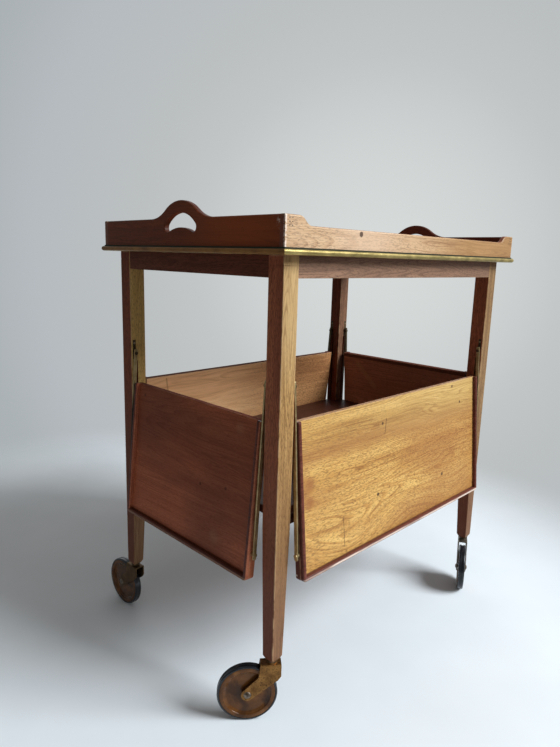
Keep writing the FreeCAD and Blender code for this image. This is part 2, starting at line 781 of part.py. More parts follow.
def make_rivets(side):
    """Shouldered pins in the leaf's ends that the links' lower ends turn on."""
    start = f"{leaf_half(side)} - Sizes.pivot_seat"
    across = ("Sizes.rivet_offset", "-Sizes.rivet_reach")
    rivets = []
    for name, sign in (("right", 1), ("left", -1)):
        body = new_body(f"leaf_{side}_rivet_{name}")
        shouldered_pin(body, "x", sign, start, across, "Sizes.pivot_seat", "Layout.link_near")
        rivets.append(body)
    pair = group(f"leaf_{side}_rivets", rivets)
    leaf_place(pair, side)
    return pair


def make_links(side):
    """The two flat brass links that carry a leaf, with their upper holes on the local x axis."""
    half = leaf_half(side)
    size = ("Sizes.link_thickness", "Sizes.link_width", "Layout.link_length + 2 * Sizes.link_end")
    low = ("-Sizes.link_width / 2", "-Layout.link_length - Sizes.link_end")
    links = []
    for name, start in (("right", f"{half} + Layout.link_near"), ("left", f"-{half} - Layout.link_far")):
        body = new_body(f"leaf_{side}_link_{name}")
        block(body, "Additive", size, (start, *low))
        ease(body, "Fillet", "Sizes.link_rounding", lambda box: near(box.YLength + box.ZLength, 0))
        for height in ("0", "-Layout.link_length"):
            radius = "Sizes.pivot_radius + Sizes.running_clearance"
            rod(body, "Subtractive", radius, "Sizes.link_thickness", (start, "0", height), "x")
        links.append(body)
    pair = group(f"leaf_{side}_links", links)
    turn = FreeCAD.Rotation(Z_AXIS, side_turn(side))
    tilt = FreeCAD.Rotation(X_AXIS, value("Layout.link_tilt"))
    place(pair, side_place(side, "Sizes.link_inset", "Layout.pivot_height"), turn * tilt)
    return pair


def make_tray_base():
    """The tray's floor board, which fits between the gallery rails."""
    body = new_body("tray_base")
    length = "(Layout.tray_inner_length - 2 * Sizes.joint_clearance)"
    width = "(Layout.tray_inner_width - 2 * Sizes.joint_clearance)"
    size = (length, width, "Sizes.base_thickness")
    block(body, "Additive", size, (f"-{length} / 2", f"-{width} / 2", "Sizes.frame_height"))
    return keep(body)


def make_tray_side(side):
    """A long gallery rail whose ends sweep up to the corners."""
    body = new_body(f"tray_rail_{side}")
    half = "Layout.tray_length / 2"
    swept = f"({half} - Sizes.sweep_flat)"
    turn_out = f"({half} - Sizes.sweep_flat - Sizes.sweep_length / 2)"
    low_out = f"({half} - Sizes.sweep_flat - Sizes.sweep_length)"
    turn_height = "Layout.rail_top - Sizes.rail_dip / 2"
    steps = [
        (half, "Sizes.frame_height"),
        (half, "Layout.rail_top"),
        (swept, "Layout.rail_top"),
        (turn_out, turn_height, "Layout.sweep_radius", 1),
        (low_out, "Layout.rail_middle", "Layout.sweep_radius", -1),
        (f"-{low_out}", "Layout.rail_middle"),
        (f"-{turn_out}", turn_height, "Layout.sweep_radius", -1),
        (f"-{swept}", "Layout.rail_top", "Layout.sweep_radius", 1),
        (f"-{half}", "Layout.rail_top"),
        (f"-{half}", "Sizes.frame_height"),
    ]
    pad(body, outline(body, "XZ_Plane", steps), "Sizes.rail_thickness", both_ways=True)
    lowest = value("Layout.rail_middle")

    def on_top(box):
        return near(box.YLength, 0) and box.ZMax > lowest - near_length() and box.XLength > near_length()

    ease(body, "Fillet", "Sizes.rail_rounding", on_top)
    sign = SIDE_SHARES[side][1]
    place(body, ("0", f"{sign} * (Layout.tray_width - Sizes.rail_thickness) / 2", "0"))
    return keep(body)


def make_tray_end(side):
    """A short gallery rail that rises to an arch, pierced with a kidney-shaped hand hole."""
    body = new_body(f"tray_rail_{side}")
    half = "Layout.tray_inner_width / 2"
    edge = [
        (half, "Sizes.frame_height"),
        (half, "Layout.rail_top"),
        ("Layout.arch_half", "Layout.rail_top"),
        ("Layout.arch_turn_out", "Layout.arch_turn_height", "Layout.arch_foot_radius", -1),
        ("-Layout.arch_turn_out", "Layout.arch_turn_height", "Sizes.arch_crown", 1),
        ("-Layout.arch_half", "Layout.rail_top", "Layout.arch_foot_radius", -1),
        (f"-{half}", "Layout.rail_top"),
        (f"-{half}", "Sizes.frame_height"),
    ]
    hole = [
        ("Layout.hole_side_out", "Layout.hole_side_height", "Sizes.hole_lobe", 1),
        ("-Layout.hole_side_out", "Layout.hole_side_height", "Sizes.hole_crown", 1),
        ("-Layout.hole_foot_out", "Layout.hole_foot_height", "Sizes.hole_lobe", 1),
        ("Layout.hole_foot_out", "Layout.hole_foot_height", "Layout.bump_radius", -1),
    ]
    sketch = outline(body, "YZ_Plane", edge)
    add_loop(sketch, hole)
    pad(body, sketch, "Sizes.rail_thickness", both_ways=True)
    top = value("Layout.rail_top")
    floor = value("Layout.tray_floor")

    def on_top(box):
        return near(box.XLength, 0) and box.ZMin > top - near_length() and box.YLength > near_length()

    def on_hole(box):
        curved = box.YLength > near_length() and box.ZLength > near_length()
        return near(box.XLength, 0) and curved and floor < box.ZMin < top - near_length()

    ease(body, "Fillet", "Sizes.rail_rounding", on_top)
    ease(body, "Fillet", "Sizes.hole_rounding", on_hole)
    sign = SIDE_SHARES[side][0]
    place(body, (f"{sign} * (Layout.tray_length - Sizes.rail_thickness) / 2", "0", "0"))
    return keep(body)


def mitred_strip(inner, projection):
    """The plan of a strip along -Y, mitred where it meets the strips beside it."""
    outer = f"({inner} + {projection})"
    return [(inner, "0"), (f"-{inner}", "0"), (f"-{outer}", f"-{projection}"), (outer, f"-{projection}")]


def make_mouldings():
    """The rounded brass moulding round the tray's base, with a narrow fillet set back along its top:
    four strips mitred at the corners."""
    strips = []
    round_height = "Sizes.base_thickness - Sizes.moulding_fillet"
    for side in SIDE_SHARES:
        body = new_body(f"tray_moulding_{side}")
        inner = "Layout.tray_length / 2" if side in LONG_SIDES else "Layout.tray_width / 2"
        fillet = outline(body, "XY_Plane", mitred_strip(inner, "Sizes.moulding_step"))
        pad(body, fillet, "Sizes.base_thickness")
        pad(body, outline(body, "XY_Plane", mitred_strip(inner, "Sizes.moulding_projection")), round_height)
        front = value("-Sizes.moulding_projection")
        ease(
            body,
            "Fillet",
            "Sizes.moulding_rounding",
            lambda box: near(box.YMax, front) and near(box.ZLength, 0),
        )
        along, across = SIDE_SHARES[side]
        middle = (f"{along} * Layout.tray_length / 2", f"{across} * Layout.tray_width / 2")
        place(body, (*middle, "Sizes.frame_height"), FreeCAD.Rotation(Z_AXIS, side_turn(side) + 180))
        strips.append(body)
    return group("tray_mouldings", strips)


def make_tray_battens():
    """Two battens under the tray that drop inside the aprons and keep the tray in place."""
    battens = []
    half = "(Layout.inner_width / 2 - Sizes.batten_clearance)"
    inset = "(Sizes.apron_inset + Sizes.apron_thickness + Sizes.batten_clearance)"
    middle = f"(Layout.half_length - {inset} - Sizes.batten_width / 2)"
    size = ("Sizes.batten_width", f"2 * {half}", "Sizes.batten_depth")
    for side in ("left", "right"):
        body = new_body(f"tray_batten_{side}")
        start = f"{SIDE_SHARES[side][0]} * {middle} - Sizes.batten_width / 2"
        block(body, "Additive", size, (start, f"-{half}", "Sizes.frame_height - Sizes.batten_depth"))
        battens.append(body)
    return group("tray_battens", battens)


def castor_place(obj, corner, trail, height):
    """Puts a castor's piece at its distance along the castor's direction."""
    along, across = CORNER_SHARES[corner]
    turn = f"Sizes.castor_angle_{corner}"
    base = (
        f"{along} * Layout.castor_out_x + {trail} * cos({turn})",
        f"{across} * Layout.castor_out_y + {trail} * sin({turn})",
        height,
    )
    place(obj, base)
    obj.setExpression("Placement.Rotation.Angle", turn)


def make_fork(corner):
    """A folded brass fork with its stem: two cranked cheeks under a top plate, trailing along +X."""
    body = new_body(f"castor_{corner}_fork")
    lower, upper = [
        (
            f"Layout.wheel_trail + Sizes.fork_eye * cos(Layout.{turn})",
            f"Layout.wheel_radius + Sizes.fork_eye * sin(Layout.{turn})",
        )
        for turn in ("lower_turn", "upper_turn")
    ]
    steps = [
        ("Sizes.fork_front", "Layout.fork_top"),
        ("-Sizes.fork_back", "Layout.fork_top"),
        ("-Sizes.fork_back", "Layout.heel_height"),
        ("Layout.heel_foot_out", "Layout.heel_foot_height"),
        lower,
        (*upper, "Sizes.fork_eye", 1),
        ("Layout.shoulder_out", "Layout.shoulder_height"),
    ]
    pad(body, outline(body, "XZ_Plane", steps), "Layout.fork_outside", both_ways=True)
    top = value("Layout.fork_top")
    ease(body, "Fillet", "Sizes.fork_bend", lambda box: near(box.ZMin, top) and near(box.YLength, 0))
    reach = "(Layout.wheel_trail + Sizes.fork_eye + Sizes.cut_overrun)"
    space = (f"2 * {reach}", "Sizes.fork_gap", "Layout.crown_underside")
    block(body, "Subtractive", space, (f"-{reach}", "-Sizes.fork_gap / 2", "0"))
    axle_hole = "Sizes.axle_radius + Sizes.running_clearance"
    axle_start = ("Layout.wheel_trail", "-Layout.fork_outside / 2", "Layout.wheel_radius")
    rod(body, "Subtractive", axle_hole, "Layout.fork_outside", axle_start, "y")
    rod(body, "Additive", "Sizes.washer_radius", "Sizes.washer_height", ("0", "0", "Layout.fork_top"))
    rod(body, "Additive", "Sizes.stem_radius", "Sizes.stem_height", ("0", "0", "Layout.fork_top"))
    castor_place(body, corner, "0", "0")
    return keep(body)


def make_axle(corner):
    """A riveted axle with a domed head outside each cheek."""
    body = new_body(f"castor_{corner}_axle")
    cheek = "Layout.fork_outside / 2"
    tip = f"({cheek} + Sizes.axle_head_height)"
    dome = "(Sizes.axle_head_radius ^ 2 + Sizes.axle_head_height ^ 2) / (2 * Sizes.axle_head_height)"
    steps = [
        ("0", f"-{tip}"),
        ("Sizes.axle_head_radius", f"-{cheek}", dome, 1),
        ("Sizes.axle_radius", f"-{cheek}"),
        ("Sizes.axle_radius", cheek),
        ("Sizes.axle_head_radius", cheek),
        ("0", tip, dome, 1),
    ]
    revolve(body, outline(body, "XY_Plane", steps))
    castor_place(body, corner, "Layout.wheel_trail", "Layout.wheel_radius")
    return keep(body)


def mirrored(steps):
    """An outline's lower half, from the axis outwards, followed by its mirror image back."""
    upper = []
    for index in range(len(steps) - 1, -1, -1):
        out, height = steps[index][:2]
        bend = steps[index + 1][2:] if index + 1 < len(steps) else ()
        upper.append((out, f"-({height})", *bend))
    return steps + upper


def make_wheel(corner):
    """A dished wheel disc with a hub and a raised, rounded band that slopes down to the web."""
    body = new_body(f"castor_{corner}_wheel")
    band = "(Layout.disc_radius - Sizes.rim_band_depth)"
    band_half = "Sizes.rim_band_width / 2"
    steps = [
        ("Sizes.axle_radius + Sizes.running_clearance", "-Sizes.hub_width / 2"),
        ("Sizes.hub_radius", "-Sizes.hub_width / 2"),
        ("Sizes.hub_radius", "-Sizes.web_thickness / 2"),
        (f"{band} - Sizes.rim_band_slope", "-Sizes.web_thickness / 2"),
        (band, f"Sizes.rim_band_round - {band_half}"),
        (f"{band} + Sizes.rim_band_round", f"-{band_half}", "Sizes.rim_band_round", 1),
        ("Layout.disc_radius - Sizes.rim_band_edge", f"-{band_half}"),
        ("Layout.disc_radius", f"Sizes.rim_band_edge - {band_half}", "Sizes.rim_band_edge", 1),
    ]
    revolve(body, outline(body, "XY_Plane", mirrored(steps)))
    castor_place(body, corner, "Layout.wheel_trail", "Layout.wheel_radius")
    return keep(body)


def make_tyre(corner):
    """A solid rubber tyre with rounded shoulders and a shallow groove round its tread."""
    body = new_body(f"castor_{corner}_tyre")
    half = "Sizes.tyre_width / 2"
    steps = [
        ("Layout.disc_radius + Sizes.tyre_fit", f"-{half}"),
        ("Layout.wheel_radius - Sizes.tyre_shoulder", f"-{half}"),
        ("Layout.wheel_radius", f"Sizes.tyre_shoulder - {half}", "Sizes.tyre_shoulder", 1),
        ("Layout.wheel_radius", "-Sizes.tread_groove / 2"),
        ("Layout.wheel_radius - Sizes.tread_depth", "-Sizes.tread_groove / 4"),
    ]
    revolve(body, outline(body, "XY_Plane", mirrored(steps)))
    castor_place(body, corner, "Layout.wheel_trail", "Layout.wheel_radius")
    return keep(body)


def make_frame():
    for corner in CORNER_SHARES:
        make_leg(corner)
    for side in SIDE_SHARES:
        make_apron(side)
    make_shelf()
    for side in LONG_SIDES:
        make_shelf_bearer(side)
    make_link_plates()
    make_link_pivots()
    make_castor_sockets()


def make_tray():
    make_tray_base()
    for side in LONG_SIDES:
        make_tray_side(side)
    for side in ("left", "right"):
        make_tray_end(side)
    make_mouldings()
    make_tray_battens()


def make_leaves():
    for side in SIDE_SHARES:
        make_panel(side)
        make_rim(side)
        make_guide_pins(side)
        make_rivets(side)
        make_links(side)


def make_castors():
    for corner in CORNER_SHARES:
        make_fork(corner)
        make_axle(corner)
        make_wheel(corner)
        make_tyre(corner)


def check_model():
    """Stops the build at the first feature or sub-part that failed."""
    for item in doc.Objects:
        if {"Invalid", "Error"} & set(item.State):
            raise RuntimeError(f"{item.Name} failed: {item.State}")
    for item in subparts:
        if item.Shape.isNull() or not item.Shape.isValid() or not item.Shape.Solids:
            raise RuntimeError(f"{item.Label} has no valid solid")


make_frame()
make_tray()
make_leaves()
make_castors()
doc.recompute()
check_model()
os.makedirs("parts", exist_ok=True)
for item in subparts:
    item.Shape.exportStep(f"parts/{item.Label}.step")
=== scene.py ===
import math
from collections import namedtuple

import bmesh
import bpy
from mathutils import Matrix, Vector


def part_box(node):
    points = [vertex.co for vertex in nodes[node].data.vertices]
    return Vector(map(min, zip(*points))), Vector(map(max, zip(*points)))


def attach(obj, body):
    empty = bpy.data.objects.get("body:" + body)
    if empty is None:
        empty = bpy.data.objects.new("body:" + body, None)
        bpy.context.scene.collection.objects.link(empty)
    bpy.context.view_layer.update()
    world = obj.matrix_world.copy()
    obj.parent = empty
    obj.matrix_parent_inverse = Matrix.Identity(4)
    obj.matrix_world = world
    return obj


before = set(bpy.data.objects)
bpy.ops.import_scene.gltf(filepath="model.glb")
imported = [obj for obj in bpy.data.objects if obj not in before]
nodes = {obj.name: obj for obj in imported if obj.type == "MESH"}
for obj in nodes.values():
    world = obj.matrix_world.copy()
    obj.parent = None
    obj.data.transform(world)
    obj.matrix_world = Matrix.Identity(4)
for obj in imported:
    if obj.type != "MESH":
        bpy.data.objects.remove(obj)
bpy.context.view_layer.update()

MM = 0.001

SIDES = ("front", "back", "left", "right")
LONG_SIDES = ("front", "back")
CORNERS = ("front_left", "front_right", "back_right", "back_left")

# The ways that faces look
WAYS = {"front": (0, -1, 0), "back": (0, 1, 0), "left": (-1, 0, 0), "right": (1, 0, 0)}
FRONT = WAYS["front"]
LEFT = WAYS["left"]
UP = (0, 0, 1)


def node_box(name):
    """The low and the high corner of a CAD piece, in millimetres."""
    return [[c / MM for c in corner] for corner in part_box(name)]


# The tray's back right corner: the long rail's end, outer face and top
RAIL_END, RAIL_FACE, RAIL_TOP = node_box("tray_rail_back")[1]

# A leaf in its own coordinates, in millimetres and degrees: x along its guide pins, y outwards, z up
LEAF_TILT = 5.4
LEAF_TURNS = {"front": 180.0, "back": 0.0, "left": 90.0, "right": 270.0}
LEAF_FOOT = -224.0
LEAF_TOP = 8.0
PANEL_HALF = 5.0
RIM_CREST = 11.5
RIM_WIDTH = 7.0

# Shades of mahogany: its dark grain, its main tone and its pale grain
GOLDEN = ((0.295, 0.116, 0.027), (0.55, 0.286, 0.074), (0.76, 0.468, 0.145))
AMBER = ((0.28, 0.110, 0.042), (0.50, 0.235, 0.092), (0.68, 0.370, 0.160))
STRAW = ((0.36, 0.200, 0.062), (0.60, 0.385, 0.128), (0.78, 0.540, 0.215))
OATMEAL = ((0.36, 0.220, 0.095), (0.58, 0.385, 0.175), (0.74, 0.530, 0.275))
BUFF = ((0.66, 0.335, 0.150), (0.93, 0.530, 0.260), (0.98, 0.650, 0.345))
HONEY = ((0.32, 0.168, 0.082), (0.56, 0.342, 0.187), (0.73, 0.495, 0.294))
LIT_TAN = ((0.22, 0.108, 0.038), (0.44, 0.250, 0.092), (0.64, 0.400, 0.160))
DRAB = ((0.18, 0.095, 0.042), (0.33, 0.195, 0.088), (0.48, 0.300, 0.140))
TAWNY = ((0.10, 0.045, 0.024), (0.19, 0.090, 0.050), (0.29, 0.145, 0.082))
TOFFEE = ((0.20, 0.085, 0.025), (0.31, 0.148, 0.046), (0.44, 0.230, 0.080))
RUSSET = ((0.275, 0.070, 0.031), (0.395, 0.106, 0.049), (0.52, 0.155, 0.072))
WALNUT = ((0.245, 0.071, 0.033), (0.41, 0.124, 0.058), (0.57, 0.194, 0.091))
CHERRY = ((0.255, 0.076, 0.038), (0.425, 0.130, 0.066), (0.545, 0.190, 0.098))
SMOKY = ((0.37, 0.155, 0.098), (0.52, 0.230, 0.145), (0.66, 0.310, 0.200))
CHESTNUT = ((0.115, 0.027, 0.011), (0.215, 0.053, 0.020), (0.31, 0.085, 0.032))
UMBER = ((0.12, 0.057, 0.033), (0.225, 0.120, 0.073), (0.34, 0.186, 0.113))
SCUFFED = ((0.10, 0.042, 0.022), (0.165, 0.073, 0.040), (0.25, 0.118, 0.066))
COCOA = ((0.085, 0.023, 0.012), (0.15, 0.041, 0.021), (0.22, 0.066, 0.034))
RIM_RED = ((0.070, 0.018, 0.011), (0.125, 0.032, 0.020), (0.185, 0.055, 0.035))
MULBERRY = ((0.045, 0.012, 0.007), (0.078, 0.022, 0.012), (0.115, 0.035, 0.020))

# Single tones of wear, stains and marks, and of painted highlights and painted shade
BLUSH = (0.88, 0.70, 0.58)
SHEEN_PINK = (0.72, 0.50, 0.34)
WEAR_AND_HIGHLIGHT = (0.60, 0.37, 0.20)
EMBER = (0.43, 0.095, 0.023)
AUBURN = (0.33, 0.125, 0.036)
FOOT_DARK = (0.135, 0.039, 0.019)
PLUM = MULBERRY[2]
GLOOM = (0.085, 0.024, 0.016)
BRUISE = (0.055, 0.022, 0.010)

# A layer of noise: cells in a metre along and across the grain, detail, roughness, weight in the wood's tone
Layer = namedtuple("Layer", "along across detail roughness weight", defaults=(2.0, 0.5, 0.0))

# The layers of mahogany's figure
SWAY = Layer(2.5, 6.0)
BANDS = Layer(1.2, 17.0, 3.0, weight=0.36)
STREAKS = Layer(2.2, 140.0, 2.0, 0.6, weight=0.26)
LINES = Layer(7.0, 560.0, 2.0, 0.6, weight=0.22)
MOTTLE = Layer(7.0, 16.0, 3.0, weight=0.16)
GROWTH = Layer(0.8, 14.0, 2.0, 0.45, weight=-0.12)
DASHES = Layer(170.0, 850.0, 1.0)
NOISE_MIDDLE = 0.5
TONE_LIFT = 0.03
TONE_STOPS = (0.36, 0.5, 0.64)

# The ways that the grain sways and how far in millimetres, how many rings its growth makes, and how a ring
# darkens
SWAY_WAYS = (0, 1, 1)
SWAY_REACH = 40.0
RING_COUNT = 60.0
RING_EDGE = (0.45, 0.95)
RING_PATCHES = (0.35, 0.65, 0.25, 1.0)

# Where dashes of noise become pores, and a pore's tone as a share of the dark grain, in general and on a face
# of another shade
PORE_EDGE = (0.51, 0.63)
PIT_SHARE = 0.4
FACE_PIT_SHARE = 0.5

# How squarely a face has to look one way, and how worn edges break into patches
FACING_EDGE = (0.35, 0.75)
RUB_EDGE = (0.34, 0.60)

# What pores, fine lines and unpolished parts add to the roughness, and fine lines to the relief
PORE_ROUGHNESS = 0.14
LINE_ROUGHNESS = 0.10
MATT_ROUGHNESS = 0.5
LINE_RELIEF = 0.3

# Turns that bring the grain's direction to X
GRAIN_TURNS = {"x": (0, 0, 0), "y": (0, 0, -90), "z": (0, 90, 0)}

# Where each kind of piece is cut from the log, and the step from one piece to the next, in metres
NO_STEP = (0.0, 0.0, 0.0)
LEG_CUT = ((0.0, 0.0, 0.05), (0.31, 0.17, 0.0))
APRON_CUT = ((0.0, 0.4, 0.0), (0.23, 0.0, 0.11))
SHELF_CUT = ((0.7, 0.2, 0.3), NO_STEP)
RAIL_CUT = ((0.0, 0.6, 0.0), (0.37, 0.0, 0.13))
TRAY_FLOOR_CUT = ((0.9, 0.1, 0.2), NO_STEP)
PANEL_CUT = ((0.0, 0.05, 0.0), (0.2, 0.0, 0.11))
RIM_CUT = ((0.0, 0.35, 0.0), (0.2, 0.0, 0.11))


class NodeTree:
    """A node tree, with short ways to add and join nodes."""

    def __init__(self, tree):
        self.tree = tree
        tree.nodes.clear()

    def add(self, kind):
        return self.tree.nodes.new(f"ShaderNode{kind}")

    def join(self, source, target):
        self.tree.links.new(source, target)

    def feed(self, socket, value):
        """Links a socket to another socket, or sets it."""
        if isinstance(value, bpy.types.NodeSocket):
            self.join(value, socket)
        else:
            socket.default_value = value

    def math(self, operation, *values, clamp=False):
        node = self.add("Math")
        node.operation = operation
        node.use_clamp = clamp
        for socket, value in zip(node.inputs, values):
            self.feed(socket, value)
        return node.outputs[0]

    def product(self, first, *others):
        for other in others:
            first = self.math("MULTIPLY", first, other)
        return first

    def sum(self, *pairs):
        """A weighted sum of values."""
        total = 0.0
        for value, weight in pairs:
            total = self.math("MULTIPLY_ADD", value, weight, total)
        return total

    def vector(self, operation, *values):
        node = self.add("VectorMath")
        node.operation = operation
        for socket, value in zip(node.inputs, values):
            self.feed(socket, value)
        return node.outputs["Value" if operation in ("LENGTH", "DISTANCE", "DOT_PRODUCT") else "Vector"]

    def scaled(self, source, by):
        node = self.add("VectorMath")
        node.operation = "SCALE"
        self.feed(node.inputs[0], source)
        self.feed(node.inputs["Scale"], by)
        return node.outputs["Vector"]

    def ramp(self, value, stops):
        """Colours a value: each stop is a position and its colour."""
        node = self.add("ValToRGB")
        self.join(value, node.inputs[0])
        colours = node.color_ramp.elements
        for end in (0, -1):
            position, colour = stops[end]
            colours[end].position = position
            colours[end].color = (*colour, 1)
        for position, colour in stops[1:-1]:
            colours.new(position).color = (*colour, 1)
        return node.outputs["Color"]

    def mix(self, share, first, second):
        node = self.add("Mix")
        node.data_type = "RGBA"
        self.feed(node.inputs[0], share)
        for socket, value in ((node.inputs[6], first), (node.inputs[7], second)):
            self.feed(socket, value if isinstance(value, bpy.types.NodeSocket) else (*value, 1))
        return node.outputs[2]


class Finish(NodeTree):
    """A material in the making. Its patterns read source, the piece's own coordinates."""

    def __init__(self, name):
        self.material = bpy.data.materials.new(name)
        self.material.use_nodes = True
        super().__init__(self.material.node_tree)
        self.shader = self.add("BsdfPrincipled")
        self.surface = self.add("OutputMaterial").inputs["Surface"]
        self.join(self.shader.outputs[0], self.surface)
        coordinates = self.add("TexCoord").outputs
        self.source = coordinates["Object"]
        self.facing = coordinates["Normal"]

    def mapped(self, location=(0, 0, 0), turn=(0, 0, 0), scale=(1, 1, 1), source=None, kind="POINT"):
        node = self.add("Mapping")
        node.vector_type = kind
        self.join(source or self.source, node.inputs["Vector"])
        node.inputs["Location"].default_value = location
        node.inputs["Rotation"].default_value = [math.radians(angle) for angle in turn]
        node.inputs["Scale"].default_value = scale
        return node.outputs[0]

    def split(self, source):
        node = self.add("SeparateXYZ")
        self.join(source, node.inputs[0])
        return node.outputs

    def measure(self, axis):
        """The place along an axis, in metres."""
        return self.split(self.source)["xyz".index(axis)]

    def noise(self, scale, detail=2.0, roughness=0.5, distortion=0.0, source=None):
        node = self.add("TexNoise")
        self.join(source or self.source, node.inputs["Vector"])
        node.inputs["Scale"].default_value = scale
        node.inputs["Detail"].default_value = detail
        node.inputs["Roughness"].default_value = roughness
        node.inputs["Distortion"].default_value = distortion
        return node.outputs["Fac"]

    def spread(self, value, low, high, to_low=0.0, to_high=1.0):
        """Maps a range smoothly, held at its ends."""
        node = self.add("MapRange")
        node.interpolation_type = "SMOOTHSTEP"
        self.feed(node.inputs["Value"], value)
        node.inputs["From Min"].default_value = low
        node.inputs["From Max"].default_value = high
        node.inputs["To Min"].default_value = to_low
        node.inputs["To Max"].default_value = to_high
        return node.outputs[0]

    def fade(self, axis, start, end, at_start=0.0, at_end=1.0):
        """Fades between two places along an axis, in millimetres."""
        return self.spread(self.measure(axis), start * MM, end * MM, at_start, at_end)

    def bump(self, height, strength, distance):
        node = self.add("Bump")
        node.inputs["Strength"].default_value = strength
        node.inputs["Distance"].default_value = distance * MM
        self.join(height, node.inputs["Height"])
        self.join(node.outputs[0], self.shader.inputs["Normal"])

    def set(self, **values):
        """Sets the shader's sockets by their names."""
        for name, value in values.items():
            self.feed(self.shader.inputs[name.replace("_", " ").title().replace("Ior", "IOR")], value)


class Mahogany(Finish):
    """Polished mahogany: bands of tone, streaks, growth rings, fine lines and short dark pores."""

    def __init__(self, name, grain, cut, number=0, pores=0.5, leaf=None, arches=()):
        super().__init__(name)
        if leaf:
            self.source = self.leaf_place(leaf)
        shift = [start + step * number for start, step in zip(*cut)]
        straight = self.mapped(location=shift, turn=GRAIN_TURNS[grain])
        lifted = straight
        for arch in arches:
            lifted = self.vector("ADD", lifted, self.scaled(UP, self.arch(*arch)))
        swing = self.math("SUBTRACT", self.figure(SWAY, lifted), NOISE_MIDDLE)
        swayed = self.vector("ADD", lifted, self.scaled(SWAY_WAYS, self.product(swing, SWAY_REACH * MM)))
        self.lines = self.figure(LINES, swayed)
        mottle = self.figure(MOTTLE, straight)
        ring = self.math("FRACT", self.product(self.figure(GROWTH, swayed), RING_COUNT))
        rings = self.product(self.spread(ring, *RING_EDGE), self.spread(mottle, *RING_PATCHES))
        self.tone = self.sum(
            (self.figure(BANDS, swayed), BANDS.weight),
            (self.figure(STREAKS, swayed), STREAKS.weight),
            (self.lines, LINES.weight),
            (mottle, MOTTLE.weight),
            (rings, GROWTH.weight),
            (1.0, TONE_LIFT),
        )
        self.pore = self.product(self.spread(self.figure(DASHES, straight), *PORE_EDGE), pores)
        self.colour = None

    def leaf_place(self, side):
        """A leaf's own coordinates, from the middle of its guide pins."""
        low, high = node_box(f"leaf_{side}_guide_pins")
        middle = [(a + b) / 2 * MM for a, b in zip(low, high)]
        return self.mapped(middle, (LEAF_TILT, 0, LEAF_TURNS[side]), kind="TEXTURE")

    def figure(self, layer, source=None):
        """A layer of noise, drawn out along X."""
        stretched = self.mapped(scale=(layer.along, layer.across, layer.across), source=source)
        return self.noise(1.0, layer.detail, layer.roughness, source=stretched)

    def arch(self, x, z, reach, rise, lift):
        """Lifts the grain about a place, so that its lines arch over it."""
        scale = (1 / (reach * MM), 0, 1 / (rise * MM))
        centred = self.mapped((-x / reach, 0, -z / rise), scale=scale)
        return self.spread(self.vector("LENGTH", centred), 0.0, 1.0, lift * MM, 0.0)

    def shade(self, shades):
        return self.ramp(self.tone, tuple(zip(TONE_STOPS, shades)))

    def paint(self, shades, *faces):
        """The wood's colour, with other shades on the faces that look one way."""
        colour = self.shade(shades)
        pit = [c * PIT_SHARE for c in shades[0]]
        for others, way in faces:
            share = self.outer(way)
            colour = self.mix(share, colour, self.shade(others))
            pit = self.mix(share, pit, [c * FACE_PIT_SHARE for c in others[0]])
        self.colour = self.mix(self.pore, colour, pit)

    def outer(self, way):
        """1 on the faces that look one way."""
        return self.spread(self.vector("DOT_PRODUCT", self.facing, way), *FACING_EDGE)

    def near(self, centre, radius, soft=0.4):
        """1 inside a small ball about a point, fading to 0 at its edge."""
        distance = self.vector("DISTANCE", self.source, [c * MM for c in centre])
        return self.spread(distance, radius * (1 - soft) * MM, radius * MM, 1.0, 0.0)

    def stroke(self, start, end, width):
        """1 along a thin straight line between two points."""
        start = Vector(start) * MM
        run = Vector(end) * MM - start
        from_start = self.vector("SUBTRACT", self.source, start)
        along = self.vector("DOT_PRODUCT", from_start, run)
        along = self.math("DIVIDE", along, run.length_squared, clamp=True)
        distance = self.vector("DISTANCE", from_start, self.scaled(run, along))
        return self.spread(distance, width / 4 * MM, width / 2 * MM, 1.0, 0.0)

    def edges(self, low, high, width):
        """1 on a box's edges, fading to 0 at a distance from them."""
        centre = [(a + b) / 2 * MM for a, b in zip(low, high)]
        half = [(b - a) / 2 * MM for a, b in zip(low, high)]
        off_centre = self.vector("ABSOLUTE", self.vector("SUBTRACT", self.source, centre))
        x, y, z = self.split(self.vector("SUBTRACT", half, off_centre))
        least = self.math("MINIMUM", x, y)
        most = self.math("MAXIMUM", x, y)
        middle = self.math("MAXIMUM", least, self.math("MINIMUM", most, z))
        return self.spread(middle, 0.0, width * MM, 1.0, 0.0)

    def mark(self, share, colour, strength=1.0, way=None):
        """Lays a mark over the colour, everywhere or on the faces that look one way."""
        if way:
            share = self.product(share, self.outer(way))
        if strength != 1.0:
            share = self.product(share, strength)
        self.colour = self.mix(share, self.colour, colour)

    def spots(self, places, colour, way=None, soft=0.4):
        """Lays round marks on a leaf's outer face."""
        for (along, height), radius, strength in places:
            self.mark(self.near((along, PANEL_HALF, height), radius, soft), colour, strength, way)

    def rub(self, low, high, width, strength):
        """Wears the edges of a box paler, in patches."""
        patchy = self.spread(self.noise(scale=55.0, detail=3.0), *RUB_EDGE, to_high=strength)
        self.mark(self.product(self.edges(low, high, width), patchy), WEAR_AND_HIGHLIGHT)

    def polish(self, roughness, gloss, matt=0.0):
        """Sets the surface: gloss is its specular level, matt the share of it that is left unpolished."""
        rough = self.sum(
            (self.pore, PORE_ROUGHNESS),
            (self.lines, LINE_ROUGHNESS),
            (matt, MATT_ROUGHNESS),
            (1.0, roughness),
        )
        self.set(base_color=self.colour, roughness=rough, specular_ior_level=gloss)
        relief = self.sum((self.lines, LINE_RELIEF), (self.pore, -1.0))
        self.bump(relief, strength=0.6, distance=0.25)
        return self.material


def wear_finish(name, material):
    nodes[name].material_slots[0].material = material
